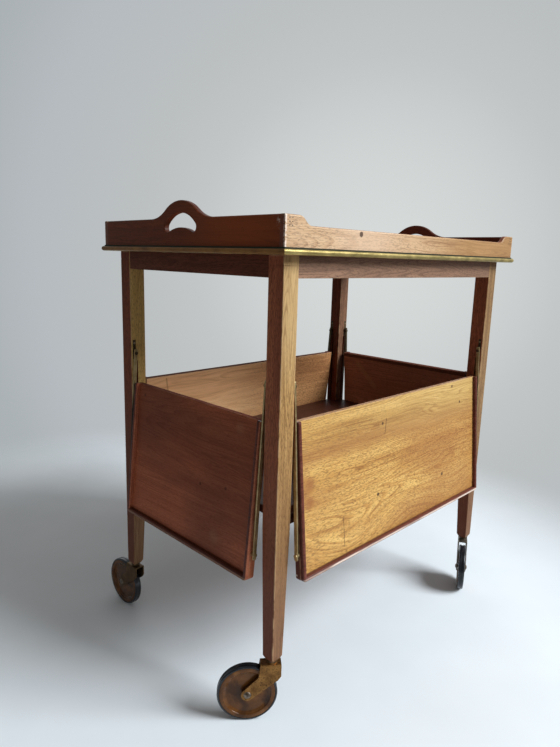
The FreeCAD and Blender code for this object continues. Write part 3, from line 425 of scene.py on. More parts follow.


# The legs' front faces, which face the window, with painted light, and on the back right leg painted shadow;
# the heights between which their darker feet fade, painted shade with some grime; and a pale upper part
LEG_SHADES = {"front_left": LIT_TAN, "front_right": DRAB, "back_right": TAWNY, "back_left": STRAW}
FOOT_GRIME_AND_SHADE = dict.fromkeys(CORNERS, (120.0, 500.0)) | {"back_left": (250.0, 480.0)}
PALE_LEG = "front_left"
PALE_HEIGHTS = (470.0, 600.0)


def finish_legs():
    for number, corner in enumerate(CORNERS):
        name = f"leg_{corner}"
        wood = Mahogany(f"leg_wood_{corner}", "z", LEG_CUT, number, pores=0.5)
        # The front faces' shades are painted light, and on the back right leg painted shadow
        wood.paint(WALNUT if corner.startswith("front") else CHESTNUT, (LEG_SHADES[corner], FRONT))
        if corner == PALE_LEG:
            wood.mark(wood.fade("z", *PALE_HEIGHTS, at_end=0.75), wood.shade(OATMEAL), way=FRONT)
        # Darker feet: painted shade, with some grime on the front faces
        grime_and_shade = wood.fade("z", *FOOT_GRIME_AND_SHADE[corner], at_start=0.85, at_end=0.0)
        wood.mark(grime_and_shade, wood.mix(wood.outer(FRONT), FOOT_DARK, wood.shade(SCUFFED)))
        wood.rub(*node_box(name), width=2.6, strength=0.7)
        wear_finish(name, wood.polish(roughness=0.44, gloss=0.16))


def finish_aprons():
    for number, side in enumerate(SIDES):
        name = f"apron_{side}"
        long_side = side in LONG_SIDES
        wood = Mahogany(f"apron_wood_{side}", "x" if long_side else "y", APRON_CUT, number, pores=0.35)
        # Paler umber on the faces that look to the front, toward the window: painted light
        wood.paint(COCOA, (UMBER, FRONT))
        wood.rub(*node_box(name), width=1.0, strength=0.5)
        wear_finish(name, wood.polish(roughness=0.44, gloss=0.3 if long_side else 0.12))


def finish_shelf():
    for name in ("shelf_board", "shelf_bearer_front", "shelf_bearer_back"):
        wood = Mahogany(f"{name}_wood", "x", SHELF_CUT, pores=0.3)
        wood.paint(MULBERRY)
        wood.rub(*node_box(name), width=1.0, strength=0.4)
        wear_finish(name, wood.polish(roughness=0.34, gloss=0.2))


# The grain, pores and gloss of the long and the short rails
LONG_RAIL = ("x", 0.45, 0.4)
SHORT_RAIL = ("y", 0.25, 0.14)

# How far a long rail's inner edges are kept from wear
RAIL_LAP = 30.0

# Marks on the front rail: where it browns along its length, a pale patch of painted sheen, a knot and the
# chipped corner
BROWNED_RUN = (-100.0, 150.0)
PALE_PATCH = ((-150.0, -RAIL_FACE, 700.0), 110.0)
KNOT = ((-165.0, -RAIL_FACE, 705.0), 4.8)
CHIPPED_CORNER = ((-RAIL_END, -RAIL_FACE, 684.0), (-RAIL_END, -RAIL_FACE, 722.0))
CHIP_WIDTH = 7.0
CHIP_EDGE = (0.42, 0.50)

# Marks on the left rail: a warm patch, and the splintered edge by the chipped corner
WARM_PATCH = ((-RAIL_END, -130.0, 700.0), 150.0)
SPLINTERED = ((-RAIL_END, -208.0, 713.0), 11.0)
SPLINTER_EDGE = (0.42, 0.55)


def mark_front_rail(wood):
    wood.mark(wood.fade("x", *BROWNED_RUN, at_end=0.9), wood.shade(TOFFEE), way=FRONT)
    # A pale patch near the corner: painted sheen
    wood.mark(wood.near(*PALE_PATCH, soft=0.9), SHEEN_PINK, strength=0.55, way=FRONT)
    wood.mark(wood.near(*KNOT), BRUISE, strength=0.9)


def mark_left_rail(wood):
    wood.mark(wood.near(*WARM_PATCH, soft=0.9), EMBER, strength=0.6, way=LEFT)
    splinters = wood.spread(wood.noise(scale=180.0, detail=3.0, roughness=0.7), *SPLINTER_EDGE)
    wood.mark(wood.product(wood.near(*SPLINTERED, soft=0.5), splinters), BLUSH, strength=0.7)


def rub_long_rail(wood, side):
    """Rubs a long rail's outer edges."""
    low, high = node_box(f"tray_rail_{side}")
    if side == "front":
        high[1] += RAIL_LAP
    else:
        low[1] -= RAIL_LAP
    wood.rub(low, high, width=1.6, strength=0.9)


def chip_corner(wood):
    chips = wood.spread(wood.noise(scale=260.0, detail=3.0, roughness=0.7), *CHIP_EDGE)
    wood.mark(wood.product(wood.stroke(*CHIPPED_CORNER, CHIP_WIDTH), chips), BLUSH, strength=0.9)


def finish_tray():
    for number, side in enumerate(SIDES):
        long_rail = side in LONG_SIDES
        grain, pores, gloss = LONG_RAIL if long_rail else SHORT_RAIL
        wood = Mahogany(f"rail_wood_{side}", grain, RAIL_CUT, number, pores)
        if long_rail:
            # Honey on the faces that look to the front, toward the window: painted light
            wood.paint(CHESTNUT, (HONEY, FRONT))
        else:
            # Mulberry on the end rails' faces that look to the front and up, in the hand hole and on the
            # arch: painted shade
            wood.paint(CHESTNUT if side == "left" else COCOA, (MULBERRY, FRONT), (MULBERRY, UP))
        if side == "front":
            mark_front_rail(wood)
        if side == "left":
            mark_left_rail(wood)
        if long_rail:
            rub_long_rail(wood, side)
        if side == "front":
            chip_corner(wood)
        wear_finish(f"tray_rail_{side}", wood.polish(roughness=0.38, gloss=gloss))
    for name in ("tray_base", "tray_battens"):
        wood = Mahogany(f"{name}_wood", "x", TRAY_FLOOR_CUT, pores=0.35)
        wood.paint(CHESTNUT)
        wear_finish(name, wood.polish(roughness=0.34, gloss=0.3))


# The shades of the leaves' outer faces, and of their edges where these are lighter than the rims: a painted
# highlight on the front leaf's top edge, and painted light on the left leaf's near end, which faces the
# window
PANEL_SHADES = {"front": GOLDEN, "back": AMBER, "left": RUSSET, "right": RUSSET}
PANEL_EDGES = {"front": ((AMBER, UP),), "left": ((WALNUT, FRONT),)}
# The left leaf's rim flank that faces the window is lighter: painted light
RIM_FLANKS = {"left": ((CHERRY, FRONT),)}

# Red clouds on the long leaves and dark ones on the short leaves, and the width of the painted shade along
# the inner foot of a rim
RUDDY = Layer(3.2, 8.0)
RUDDY_EDGE = (0.48, 0.68)
CLOUDY = Layer(5.0, 13.0, 3.0)
CLOUDY_EDGE = (0.45, 0.65)
RIM_SHADE_WIDTH = 2.6

# Where the long leaves' grain arches: place, reach along and across, and lift
ARCHES = ((150.0, -232.0, 190.0, 120.0, 46.0), (-165.0, -214.0, 150.0, 60.0, 24.0))

# The front leaf's red streak: its height, how it wanders and how far, and where its soft edge starts and ends
STREAK_HEIGHT = -22.0
STREAK_WANDER = Layer(5.0, 0.0)
STREAK_SWING = 50.0
STREAK_WIDTHS = (3.0, 22.0)

# The front leaf's bleached upper part: its heights and its run from end to end
BLEACHED_HEIGHTS = (-85.0, -5.0)
BLEACHED_RUN = (-200.0, 220.0)

# Marks on the leaves' outer faces: places, radii and strengths
FRONT_SPOTS = (
    ((70.8, -145.4), 3.6, 0.95), ((-132.2, -160.8), 3.8, 0.9), ((-198.7, -34.0), 3.2, 0.8),
    ((-169.8, -0.2), 3.4, 0.8), ((54.7, -30.6), 3.2, 0.8),
)
FRONT_STAINS = (((262.0, -95.0), 42.0, 0.6), ((233.0, -88.0), 16.0, 0.8), ((234.0, -114.0), 14.0, 0.8))
LEFT_SPOTS = (((-34.1, -117.6), 3.2, 0.6), ((-93.5, -107.5), 3.2, 0.6), ((133.3, -9.5), 3.4, 0.6))
LEFT_PALE = (((-73.8, -220.3), 2.4, 0.9), ((-113.7, -11.9), 13.0, 0.10), ((-75.8, -188.2), 16.0, 0.10))
# Two soft dark patches on the left leaf's outer face: painted shade
LEFT_GLOOM = (((95.0, PANEL_HALF, -20.0), 160.0), ((-60.0, PANEL_HALF, -190.0), 90.0))

# Scratches on the front leaf and a chip at the foot of its end: ends and width, place and radius
FRONT_SCRATCHES = (
    ((43.8, PANEL_HALF, -24.3), (49.1, PANEL_HALF, -48.9), 1.5),
    ((160.4, PANEL_HALF, -156.5), (159.0, PANEL_HALF, -205.0), 1.4),
)
LEAF_CHIP_DEPTH = -2.6
LEAF_CHIP_HEIGHT = -216.0
LEAF_CHIP_RADIUS = 1.8

# The back leaf's inner face: how its pale part, a painted pool of window light, runs out, and a split
BUFF_RUN = (-120.0, 120.0)
BACK_SPLIT = ((-216.5, -PANEL_HALF, 3.0), (-212.0, -PANEL_HALF, -22.0), 4.0)

# The right leaf's inner face: a dark lipping along its top, and a pale streak
LIPPING = (LEAF_TOP - 9.0, LEAF_TOP - 7.0)
PALE_STREAK = ((-116.0, -PANEL_HALF, -14.0), (-69.2, -PANEL_HALF, -60.6), 16.0)

# A painted highlight on the rims' crests: depths below the crest, height of the line above the foot, half
# widths, patches, and the tone and strength of the painted highlight
CREST_DEPTHS = (2.4, 0.6)
CREST_LINE = 3.2
CREST_WIDTHS = (1.0, 2.2)
CREST_HIGHLIGHT_PATCHES = Layer(14.0, 60.0)
CREST_PATCHES = (0.38, 0.58, 0.35, 1.0)
LONG_CREST = (BLUSH, 0.8)
SHORT_CREST = (WEAR_AND_HIGHLIGHT, 0.25)


def leaf_half(side):
    """Half of a leaf's length."""
    return node_box(f"leaf_{side}_panel")[1][0 if side in LONG_SIDES else 1]


def mark_front_leaf(wood):
    wander = wood.figure(STREAK_WANDER)
    parts = ((wood.measure("z"), 1.0), (wander, STREAK_SWING * MM), (1.0, -STREAK_HEIGHT * MM))
    off = wood.math("ABSOLUTE", wood.sum(*parts))
    streak = wood.spread(off, *[width * MM for width in STREAK_WIDTHS], to_low=0.5, to_high=0.0)
    wood.mark(streak, AUBURN)
    bleached = wood.fade("z", *BLEACHED_HEIGHTS, at_end=0.9)
    bleached = wood.product(bleached, wood.fade("x", *BLEACHED_RUN, at_start=1.0, at_end=0.3))
    wood.mark(bleached, wood.shade(STRAW), way=FRONT)
    wood.spots(FRONT_STAINS, AUBURN, FRONT, soft=0.9)
    chip = (leaf_half("front"), LEAF_CHIP_DEPTH, LEAF_CHIP_HEIGHT)
    wood.mark(wood.near(chip, LEAF_CHIP_RADIUS), BLUSH)
    wood.spots(FRONT_SPOTS, BRUISE)
    for scratch in FRONT_SCRATCHES:
        wood.mark(wood.stroke(*scratch), BRUISE, strength=0.9)


def mark_back_leaf(wood):
    """Marks its inner face, which looks to the front: a pale part of painted window light, and a split."""
    # Painted light: a pale part where the window's light falls on the inner face
    wood.mark(wood.fade("x", *BUFF_RUN, at_start=0.95, at_end=0.0), wood.shade(BUFF), way=FRONT)
    wood.mark(wood.stroke(*BACK_SPLIT), AUBURN, strength=0.5)


def mark_left_leaf(wood):
    # Painted shade in two soft patches on the outer face
    glooms = [wood.near(*place, soft=0.9) for place in LEFT_GLOOM]
    wood.mark(wood.math("MAXIMUM", *glooms), GLOOM, strength=0.45, way=LEFT)
    wood.spots(LEFT_SPOTS, BRUISE)
    wood.spots(LEFT_PALE, WEAR_AND_HIGHLIGHT, soft=0.8)


def mark_right_leaf(wood):
    """Marks its inner face, which looks to the left."""
    wood.mark(wood.fade("z", *LIPPING), PLUM, strength=0.8, way=LEFT)
    wood.mark(wood.stroke(*PALE_STREAK), WEAR_AND_HIGHLIGHT, strength=0.35)


LEAF_MARKS = {
    "front": mark_front_leaf, "back": mark_back_leaf, "left": mark_left_leaf, "right": mark_right_leaf,
}


def long_panel_wood(side, number):
    """A golden panel with arching grain and red clouds."""
    wood = Mahogany(f"panel_wood_{side}", "x", PANEL_CUT, number, pores=0.6, leaf=side, arches=ARCHES)
    outwards, inwards = WAYS[side], [-c for c in WAYS[side]]
    # The edges' shades paint a highlight on the front leaf's top edge
    wood.paint(RIM_RED, (PANEL_SHADES[side], outwards), (AMBER, inwards), *PANEL_EDGES.get(side, ()))
    wood.mark(wood.spread(wood.figure(RUDDY), *RUDDY_EDGE), AUBURN, strength=0.45, way=outwards)
    return wood


def short_panel_wood(side, number):
    """A red panel with straight grain and dark clouds."""
    wood = Mahogany(f"panel_wood_{side}", "x", PANEL_CUT, number, pores=0.3, leaf=side)
    outwards, inwards = WAYS[side], [-c for c in WAYS[side]]
    # The edges' shades paint light on the left leaf's near end, which faces the window
    wood.paint(RIM_RED, (PANEL_SHADES[side], outwards), (SMOKY, inwards), *PANEL_EDGES.get(side, ()))
    wood.mark(wood.spread(wood.figure(CLOUDY), *CLOUDY_EDGE), PLUM, strength=0.34, way=outwards)
    return wood


def finish_leaf_panel(side, number):
    long_leaf = side in LONG_SIDES
    wood = long_panel_wood(side, number) if long_leaf else short_panel_wood(side, number)
    inner_foot = LEAF_FOOT + RIM_WIDTH
    # Painted shade in the corner along the inner foot of the rim
    rim_shade = wood.fade("z", inner_foot, inner_foot + RIM_SHADE_WIDTH, at_start=1.0, at_end=0.0)
    wood.mark(rim_shade, BRUISE, strength=0.75, way=WAYS[side])
    LEAF_MARKS[side](wood)
    low = (-leaf_half(side), -PANEL_HALF, LEAF_FOOT)
    high = (leaf_half(side), PANEL_HALF, LEAF_TOP)
    wood.rub(low, high, width=1.6, strength=0.8 if long_leaf else 0.3)
    matt = 0.0 if side == "front" else wood.outer(UP)
    material = wood.polish(roughness=0.36, gloss=0.35 if long_leaf else 0.10, matt=matt)
    wear_finish(f"leaf_{side}_panel", material)


def finish_leaf_rim(side, number):
    wood = Mahogany(f"rim_wood_{side}", "x", RIM_CUT, number, pores=0.4, leaf=side)
    # Painted light on the left rim's flank that faces the window
    wood.paint(RIM_RED, *RIM_FLANKS.get(side, ()))
    # A pale line along the crest at each rim's foot: painted highlight
    crest = wood.fade("y", *[RIM_CREST - depth for depth in CREST_DEPTHS])
    off = wood.math("ABSOLUTE", wood.math("SUBTRACT", wood.measure("z"), (LEAF_FOOT + CREST_LINE) * MM))
    foot = wood.spread(off, *[width * MM for width in CREST_WIDTHS], to_low=1.0, to_high=0.0)
    patches = wood.spread(wood.figure(CREST_HIGHLIGHT_PATCHES), *CREST_PATCHES)
    crest_highlight = wood.product(patches, wood.product(crest, foot))
    wood.mark(crest_highlight, *(LONG_CREST if side in LONG_SIDES else SHORT_CREST))
    low = (-leaf_half(side), PANEL_HALF, LEAF_FOOT)
    high = (leaf_half(side), RIM_CREST, LEAF_TOP)
    wood.rub(low, high, width=1.2, strength=0.5)
    wear_finish(f"leaf_{side}_rim", wood.polish(roughness=0.32, gloss=0.2))


def finish_leaves():
    for number, side in enumerate(SIDES):
        finish_leaf_panel(side, number)
        finish_leaf_rim(side, number)


# Old brass, dull and bright, the dull tones also painted shade on the far links, the shares of clouds and
# grit in its tone, what grit adds to its roughness, and the tones of its spots and of the painted shade on
# the shaded link
LINK_BRASS = ((0.28, 0.20, 0.09), (0.56, 0.43, 0.22))
DULL_BRASS = ((0.05, 0.034, 0.018), (0.12, 0.085, 0.045))
SCREW_BRASS = ((0.2, 0.15, 0.08), (0.50, 0.42, 0.28))
# Forks: warm on the near castor, grey on the front right one as a painted reflection of the white
# surroundings, and dark brown on the back ones as painted shade
WARM_FORK = ((0.13, 0.058, 0.017), (0.33, 0.165, 0.050))
GREY_FORK = ((0.10, 0.082, 0.062), (0.26, 0.22, 0.175))
BROWN_FORK = ((0.06, 0.034, 0.015), (0.15, 0.088, 0.036))
BRASS_STOPS = (0.36, 0.62)
BRASS_SHARES = (0.7, 0.3)
GRIT_ROUGHNESS = 0.22
BRASS_SPOT = (0.05, 0.026, 0.012)
LINK_SHADE = (0.03, 0.022, 0.014)
FORK_SPOTS = 0.85
SPOT_EDGE = (0.57, 0.66)

# The shaded lower part of the left leaf's far link: where it starts along the leaf, and its heights
SHADED_RUN = (-10.0, 10.0)
SHADED_HEIGHTS = (400.0, 440.0)

# Steel, dark and bright, and how its roughness follows its clouds
STEEL_STOPS = ((0.35, (0.09, 0.066, 0.048)), (0.65, (0.27, 0.225, 0.180)))
STEEL_ROUGHNESS = (0.3, 0.7, 0.28, 0.5)

# The tray's moulding: rubbed gold, brown as painted shade on its ends, how squarely its ends look out, the
# tarnish of its fillet, and the fillet's height and soft edge
MOULDING_GOLD = ((0.34, (0.30, 0.218, 0.070)), (0.66, (0.76, 0.588, 0.228)))
MOULDING_BROWN = ((0.34, (0.15, 0.066, 0.020)), (0.66, (0.33, 0.155, 0.045)))
END_EDGE = (0.3, 0.7)
TARNISH = (0.040, 0.042, 0.026)
FILLET_HEIGHT = 1.9
FILLET_EDGE = 0.9

# The moulding's fine lines, the shares of clouds and lines in its tone, and what its fillet, its clouds and
# the whole of it give to the roughness
MOULDING_LINES = (60.0, 60.0, 900.0)
MOULDING_SHARES = (0.6, 0.4)
MOULDING_ROUGHNESS = (0.3, 0.15, 0.26)

# The wheels' moulded discs and their tyres: tones, and how the roughness follows their clouds or grain
WHEEL_STOPS = ((0.34, (0.055, 0.020, 0.006)), (0.52, (0.125, 0.046, 0.011)), (0.7, (0.21, 0.084, 0.022)))
WHEEL_ROUGHNESS = (0.3, 0.7, 0.08, 0.16)
TYRE_STOPS = ((0.35, (0.004, 0.005, 0.007)), (0.7, (0.016, 0.019, 0.026)))
TYRE_ROUGHNESS = (0.3, 0.7, 0.12, 0.24)


def brass(name, tones, roughness, spots=0.0, shaded=None):
    """Old brass: brown tarnish in clouds, fine scratches, and spots or a shaded part where it has them."""
    metal = Finish(name)
    cloud = metal.noise(scale=70.0, detail=4.0, roughness=0.6)
    grit = metal.noise(scale=900.0, roughness=0.6)
    tone = metal.sum(*zip((cloud, grit), BRASS_SHARES))
    colour = metal.ramp(tone, tuple(zip(BRASS_STOPS, tones)))
    if spots:
        speck = metal.spread(metal.noise(scale=420.0), *SPOT_EDGE)
        colour = metal.mix(metal.product(speck, spots), colour, BRASS_SPOT)
    if shaded:
        colour = metal.mix(shaded(metal), colour, LINK_SHADE)
    rough = metal.sum((grit, GRIT_ROUGHNESS), (1.0, roughness))
    metal.set(base_color=colour, metallic=0.9, roughness=rough)
    metal.bump(grit, strength=0.25, distance=0.05)
    return metal.material


def far_link_foot(metal):
    """1 on the lower part of the left leaf's far link."""
    far = metal.fade("y", *SHADED_RUN)
    low = metal.fade("z", *SHADED_HEIGHTS, at_start=1.0, at_end=0.0)
    return metal.product(far, low)


def steel(name):
    metal = Finish(name)
    cloud = metal.noise(scale=300.0, detail=3.0)
    roughness = metal.spread(cloud, *STEEL_ROUGHNESS)
    metal.set(base_color=metal.ramp(cloud, STEEL_STOPS), metallic=0.9, roughness=roughness)
    metal.bump(cloud, strength=0.2, distance=0.05)
    return metal.material


def finish_moulding():
    """Rubbed gold on the round of the long sides, brown painted shade on the ends, and green tarnish on the
    fillet.
    """
    metal = Finish("moulding_brass")
    cloud = metal.noise(scale=40.0, detail=4.0, roughness=0.6)
    fine = metal.noise(scale=1.0, source=metal.mapped(scale=MOULDING_LINES))
    tone = metal.sum(*zip((cloud, fine), MOULDING_SHARES))
    # The ends take a browner tone: painted shade
    end = metal.spread(metal.math("ABSOLUTE", metal.split(metal.facing)[0]), *END_EDGE)
    colour = metal.mix(end, metal.ramp(tone, MOULDING_GOLD), metal.ramp(tone, MOULDING_BROWN))
    fillet_foot = node_box("tray_mouldings")[1][2] - FILLET_HEIGHT
    fillet = metal.fade("z", fillet_foot - FILLET_EDGE, fillet_foot)
    metal.set(base_color=metal.mix(fillet, colour, TARNISH), metallic=0.85)
    metal.set(roughness=metal.sum(*zip((fillet, cloud, 1.0), MOULDING_ROUGHNESS)))
    metal.bump(fine, strength=0.15, distance=0.05)
    wear_finish("tray_mouldings", metal.material)


def wheel_brown():
    """Glossy moulded brown with swirls of darker tone."""
    disc = Finish("wheel_brown")
    cloud = disc.noise(scale=35.0, detail=4.0, roughness=0.6, distortion=0.6)
    roughness = disc.spread(cloud, *WHEEL_ROUGHNESS)
    disc.set(base_color=disc.ramp(cloud, WHEEL_STOPS), roughness=roughness, specular_ior_level=0.25)
    disc.bump(disc.noise(scale=500.0), strength=0.15, distance=0.05)
    return disc.material


def tyre_black():
    rubber = Finish("tyre_black")
    cloud = rubber.noise(scale=55.0, detail=4.0, roughness=0.6)
    fine = rubber.noise(scale=800.0)
    rubber.set(base_color=rubber.ramp(cloud, TYRE_STOPS), roughness=rubber.spread(fine, *TYRE_ROUGHNESS))
    rubber.bump(fine, strength=0.15, distance=0.05)
    return rubber.material


def finish_links():
    """Links bright on the near leaves and dull on the far ones as painted shade, dull fittings, and steel
    pins and axles.
    """
    bright = brass("link_brass", LINK_BRASS, roughness=0.34)
    # The dull copy: painted shade on the far links, and the fittings' own dark brass
    dull = brass("dull_brass", DULL_BRASS, roughness=0.42)
    shaded = brass("left_link_brass", LINK_BRASS, roughness=0.34, shaded=far_link_foot)
    links = {"front": bright, "back": dull, "left": shaded, "right": dull}
    rivets = {"front": bright, "back": dull, "left": bright, "right": dull}
    pins = steel("pin_steel")
    for side in SIDES:
        wear_finish(f"leaf_{side}_links", links[side])
        wear_finish(f"leaf_{side}_rivets", rivets[side])
        wear_finish(f"leaf_{side}_guide_pins", pins)
    for name in ("link_plates", "link_pivots", "castor_sockets"):
        wear_finish(name, dull)
    for corner in CORNERS:
        wear_finish(f"castor_{corner}_axle", pins)


def finish_castors():
    # The back castors' darker brown forks are painted shade, the front right one's grey a painted reflection
    brown = brass("fork_brown", BROWN_FORK, roughness=0.4, spots=FORK_SPOTS)
    forks = dict.fromkeys(CORNERS, brown)
    forks["front_left"] = brass("fork_brass", WARM_FORK, roughness=0.36, spots=FORK_SPOTS)
    forks["front_right"] = brass("fork_grey", GREY_FORK, roughness=0.36, spots=FORK_SPOTS)
    disc, rubber = wheel_brown(), tyre_black()
    for corner in CORNERS:
        wear_finish(f"castor_{corner}_fork", forks[corner])
        wear_finish(f"castor_{corner}_wheel", disc)
        wear_finish(f"castor_{corner}_tyre", rubber)


# Widths of the eased edges on the aprons, the links and the boards, and how they are cut
APRON_EASE = 0.5
LINK_EASE = 0.35
BOARD_EASE = 0.8
EASED_ANGLE = 40.0
EASED_STEPS = 2
WELD_REACH = 0.01


def ease(name, width):
    """Eases a CAD piece's sharp edges so that they catch the light."""
    weld = nodes[name].modifiers.new("weld", "WELD")
    weld.merge_threshold = WELD_REACH * MM
    bevel = nodes[name].modifiers.new("eased_edges", "BEVEL")
    bevel.width = width * MM
    bevel.segments = EASED_STEPS
    bevel.limit_method = "ANGLE"
    bevel.angle_limit = math.radians(EASED_ANGLE)
    bevel.use_clamp_overlap = True


def ease_edges():
    for side in SIDES:
        ease(f"apron_{side}", APRON_EASE)
        ease(f"leaf_{side}_links", LINK_EASE)
    for name in ("shelf_board", "tray_base"):
        ease(name, BOARD_EASE)


# Screws in the link plates: their height, head and slot, and half of a plate's width
SCREW_HEIGHT = 518.6
SCREW_RADIUS = 1.9
SCREW_HEAD = 0.7
SCREW_POINTS = 24
SLOT_WIDTH = 0.55
SLOT_DEPTH = 0.35
PLATE_HALF = 3.0

# Brads in the long rails' ends: their places in from the end and down from the top, and their heads
BRAD_INSETS = (7.6, 12.6)
BRAD_DROPS = (13.0, 8.5, 4.0)
BRAD_RADIUS = 0.8
BRAD_HEAD = 0.3
BRAD_POINTS = 12

# A head's flat margin and its eased top, as shares of its radius and height
MARGIN_SHARE = 0.12
DOME_SHARE = 0.3
DOME_RISE_SHARE = 0.25
SMOOTH_ANGLE = 30.0

# How squarely a face looks up to be part of a head's top, before and after the top is eased
FLAT_TOP = 0.9
EASED_TOP = 0.3


def choose_faces(piece, wanted):
    """Selects, in edit mode, the faces that a test picks."""
    shape = bmesh.from_edit_mesh(piece.data)
    bpy.ops.mesh.select_mode(type="FACE")
    for face in shape.faces:
        face.select_set(bool(wanted(face)))
    bmesh.update_edit_mesh(piece.data)


def start_head(name, radius, height, points):
    """A short peg that stands in the face it is driven into, its top eased."""
    bpy.ops.object.select_all(action="DESELECT")
    depth = 2 * height * MM
    bpy.ops.mesh.primitive_cylinder_add(vertices=points, radius=radius * MM, depth=depth, location=(0, 0, 0))
    head = bpy.context.object
    head.name = name
    bpy.ops.object.mode_set(mode="EDIT")
    choose_faces(head, lambda face: face.normal.z > FLAT_TOP)
    bpy.ops.mesh.inset(thickness=radius * MARGIN_SHARE * MM, depth=0.0)
    bpy.ops.mesh.inset(thickness=radius * DOME_SHARE * MM, depth=height * DOME_RISE_SHARE * MM)
    return head


def cut_slot(head):
    """Cuts the screwdriver's slot across the head."""
    half = SLOT_WIDTH / 2 * MM
    for side in (-half, half):
        bpy.ops.mesh.select_all(action="SELECT")
        bpy.ops.mesh.bisect(plane_co=(side, 0, 0), plane_no=(1, 0, 0))
    choose_faces(head, lambda face: face.normal.z > EASED_TOP and abs(face.calc_center_median().x) < half)
    bpy.ops.mesh.extrude_region_move(TRANSFORM_OT_translate={"value": (0, 0, -SLOT_DEPTH * MM)})


def set_heads(head, places, body, material):
    """Copies a head to its places, each given with the way that it looks, and joins the copies."""
    bpy.ops.object.mode_set(mode="OBJECT")
    copies = []
    for place, way in places:
        bpy.ops.object.select_all(action="DESELECT")
        head.select_set(True)
        bpy.context.view_layer.objects.active = head
        bpy.ops.object.duplicate()
        copy = bpy.context.object
        copy.location = Vector(place) * MM
        copy.rotation_euler = Vector(way).to_track_quat("Z", "Y").to_euler()
        bpy.ops.object.transform_apply(location=True, rotation=True, scale=True)
        copies.append(copy)
    name = head.name
    bpy.data.objects.remove(head)
    bpy.ops.object.select_all(action="DESELECT")
    for copy in copies:
        copy.select_set(True)
    bpy.context.view_layer.objects.active = copies[0]
    bpy.ops.object.join()
    bpy.ops.object.transform_apply(location=True, rotation=True, scale=True)
    bpy.ops.object.shade_smooth_by_angle(angle=math.radians(SMOOTH_ANGLE))
    piece = bpy.context.object
    piece.name = name
    piece.data.materials.clear()
    piece.data.materials.append(material)
    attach(piece, body)


def add_screws():
    """A screw in each link plate, on the legs' inner faces."""
    screw = start_head("plate_screws", SCREW_RADIUS, SCREW_HEAD, SCREW_POINTS)
    cut_slot(screw)
    leg_x, leg_y, _ = node_box("leg_back_right")[0]
    plate_x, plate_y, _ = [edge - PLATE_HALF for edge in node_box("link_plates")[1]]
    places = []
    for end in (-1, 1):
        for side in (-1, 1):
            places.append(((end * leg_x, side * plate_y, SCREW_HEIGHT), (-end, 0, 0)))
            places.append(((end * plate_x, side * leg_y, SCREW_HEIGHT), (0, -side, 0)))
    set_heads(screw, places, "frame", brass("screw_brass", SCREW_BRASS, roughness=0.3))


def add_brads():
    """Brads through the long rails' ends, in columns and rows."""
    brad = start_head("rail_brads", BRAD_RADIUS, BRAD_HEAD, BRAD_POINTS)
    places = []
    for side in (-1, 1):
        for end in (-1, 1):
            for inset in BRAD_INSETS:
                for drop in BRAD_DROPS:
                    place = (end * (RAIL_END - inset), side * RAIL_FACE, RAIL_TOP - drop)
                    places.append((place, (0, side, 0)))
    set_heads(brad, places, "tray", steel("brad_steel"))


# The floor, in metres: its size, and where it fades into the backdrop
FLOOR_RADIUS = 4.0
FLOOR_POINTS = 96
FLOOR_MIDDLE = (-0.2, 0.2, 0.0)
FLOOR_FADE = (0.70, 1.25)
FLOOR_STOPS = ((0.3, (0.82, 0.865, 0.90)), (0.7, (0.86, 0.905, 0.94)))


def make_floor():
    """A wide pale disc that fades into the backdrop."""
    bpy.ops.object.select_all(action="DESELECT")
    bpy.ops.mesh.primitive_circle_add(
        vertices=FLOOR_POINTS, radius=FLOOR_RADIUS, fill_type="NGON", location=(0, 0, 0)
    )
    floor = bpy.context.object
    floor.name = "floor"
    paper = Finish("floor_paper")
    fibre = paper.noise(scale=6.0, detail=3.0)
    paper.set(base_color=paper.ramp(fibre, FLOOR_STOPS), roughness=0.9, specular_ior_level=0.05)
    far = paper.spread(paper.vector("DISTANCE", paper.source, FLOOR_MIDDLE), *FLOOR_FADE)
    clear = paper.add("BsdfTransparent")
    blend = paper.add("MixShader")
    for socket, source in zip(blend.inputs, (far, paper.shader.outputs[0], clear.outputs[0])):
        paper.join(source, socket)
    paper.join(blend.outputs[0], paper.surface)
    floor.data.materials.append(paper.material)


# The light in the studio: dim on the left, pale on the right
LIGHT_SIDE = (0.75, -0.60, 0.28)
LIGHT_STOPS = (
    (0.0, (0.022, 0.021, 0.022)),
    (0.16, (0.031, 0.030, 0.031)),
    (0.29, (0.086, 0.086, 0.084)),
    (0.385, (0.158, 0.158, 0.155)),
    (0.58, (0.210, 0.208, 0.202)),
    (0.75, (0.212, 0.212, 0.205)),
    (1.0, (0.29, 0.29, 0.285)),
)

# The backdrop that is seen: palest behind the tray's right end
BACKDROP_SIDE = (0.813, 0.582, 0.0)
BACKDROP_STOPS = (
    (0.0, (0.22, 0.23, 0.235)),
    (0.50, (0.24, 0.25, 0.255)),
    (0.80, (0.32, 0.35, 0.36)),
    (0.90, (0.41, 0.445, 0.465)),
    (0.925, (0.465, 0.495, 0.525)),
    (0.9625, (0.50, 0.525, 0.53)),
    (0.978, (0.54, 0.56, 0.565)),
    (1.0, (0.67, 0.70, 0.695)),
)


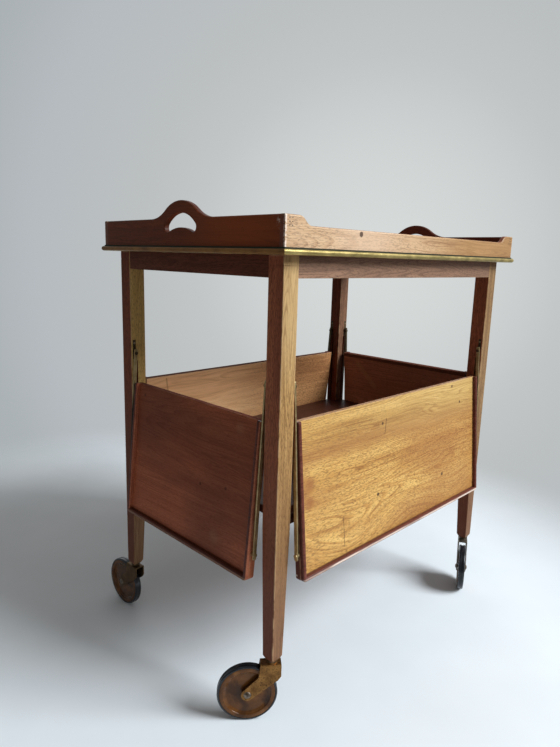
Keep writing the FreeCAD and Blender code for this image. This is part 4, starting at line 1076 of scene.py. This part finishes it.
def make_world():
    """A grey studio. Camera, glossy and transmission rays see the backdrop, the others its light."""
    world = bpy.data.worlds.new("studio")
    bpy.context.scene.world = world
    world.use_nodes = True
    studio = NodeTree(world.node_tree)
    way = studio.add("TexCoord").outputs["Generated"]
    tones = []
    for side, stops in ((LIGHT_SIDE, LIGHT_STOPS), (BACKDROP_SIDE, BACKDROP_STOPS)):
        towards = studio.vector("DOT_PRODUCT", way, side)
        # From -1 and 1 to the ramp's 0 and 1
        place = studio.sum((towards, 0.5), (1.0, 0.5))
        tones.append(studio.ramp(place, stops))
    rays = studio.add("LightPath").outputs
    seen = rays["Is Camera Ray"]
    for name in ("Is Glossy Ray", "Is Transmission Ray"):
        seen = studio.math("MAXIMUM", seen, rays[name])
    background = studio.add("Background")
    studio.join(studio.mix(seen, *tones), background.inputs["Color"])
    studio.join(background.outputs[0], studio.add("OutputWorld").inputs["Surface"])


# The softboxes: the way to each, its distance and width in metres, its power in watts and its colour
LIT_MIDDLE = (0.0, 0.0, 0.4)
SOFTBOXES = {
    "window": ((0.42, -0.84, 0.65), 5.0, 2.4, 347.0, (0.90, 0.958, 1.0)),
    "fill": ((0.45, 0.85, 0.35), 3.6, 2.4, 10.0, (1.0, 1.0, 1.0)),
    "ceiling": ((0.0, 0.0, 1.0), 2.2, 2.6, 5.0, (1.0, 1.0, 1.0)),
}


def soft_light(name, towards, distance, width, power, colour):
    """A square softbox that faces the middle of the trolley."""
    data = bpy.data.lights.new(name, "AREA")
    data.shape = "SQUARE"
    data.size = width
    data.energy = power
    data.color = colour
    lamp = bpy.data.objects.new(name, data)
    bpy.context.scene.collection.objects.link(lamp)
    way = Vector(towards).normalized()
    lamp.location = Vector(LIT_MIDDLE) + way * distance
    lamp.rotation_euler = way.to_track_quat("Z", "Y").to_euler()


# The camera: its place in metres, its turns in degrees, one after another, its sensor and lens in
# millimetres, and the nearest distance that it sees, in metres
CAMERA_PLACE = (-0.8233, -0.71375, 0.67057)
CAMERA_TURNS = ((-45.407, "Z"), (78.775, "X"), (1.666, "Z"))
CAMERA_SENSOR = 36.0
CAMERA_LENS = 28.10
CAMERA_NEAR = 0.01


def make_camera():
    data = bpy.data.cameras.new("camera")
    data.sensor_width = CAMERA_SENSOR
    data.lens = CAMERA_LENS
    data.clip_start = CAMERA_NEAR
    camera = bpy.data.objects.new("camera", data)
    bpy.context.scene.collection.objects.link(camera)
    turn = Matrix()
    for angle, axis in CAMERA_TURNS:
        turn = turn @ Matrix.Rotation(math.radians(angle), 4, axis)
    camera.rotation_euler = turn.to_euler()
    camera.location = CAMERA_PLACE
    bpy.context.scene.camera = camera


bpy.context.scene.view_settings.view_transform = "Standard"
make_camera()
make_floor()
make_world()
for softbox, values in SOFTBOXES.items():
    soft_light(softbox, *values)
finish_legs()
finish_aprons()
finish_shelf()
finish_tray()
finish_leaves()
finish_moulding()
finish_links()
finish_castors()
ease_edges()
add_screws()
add_brads()
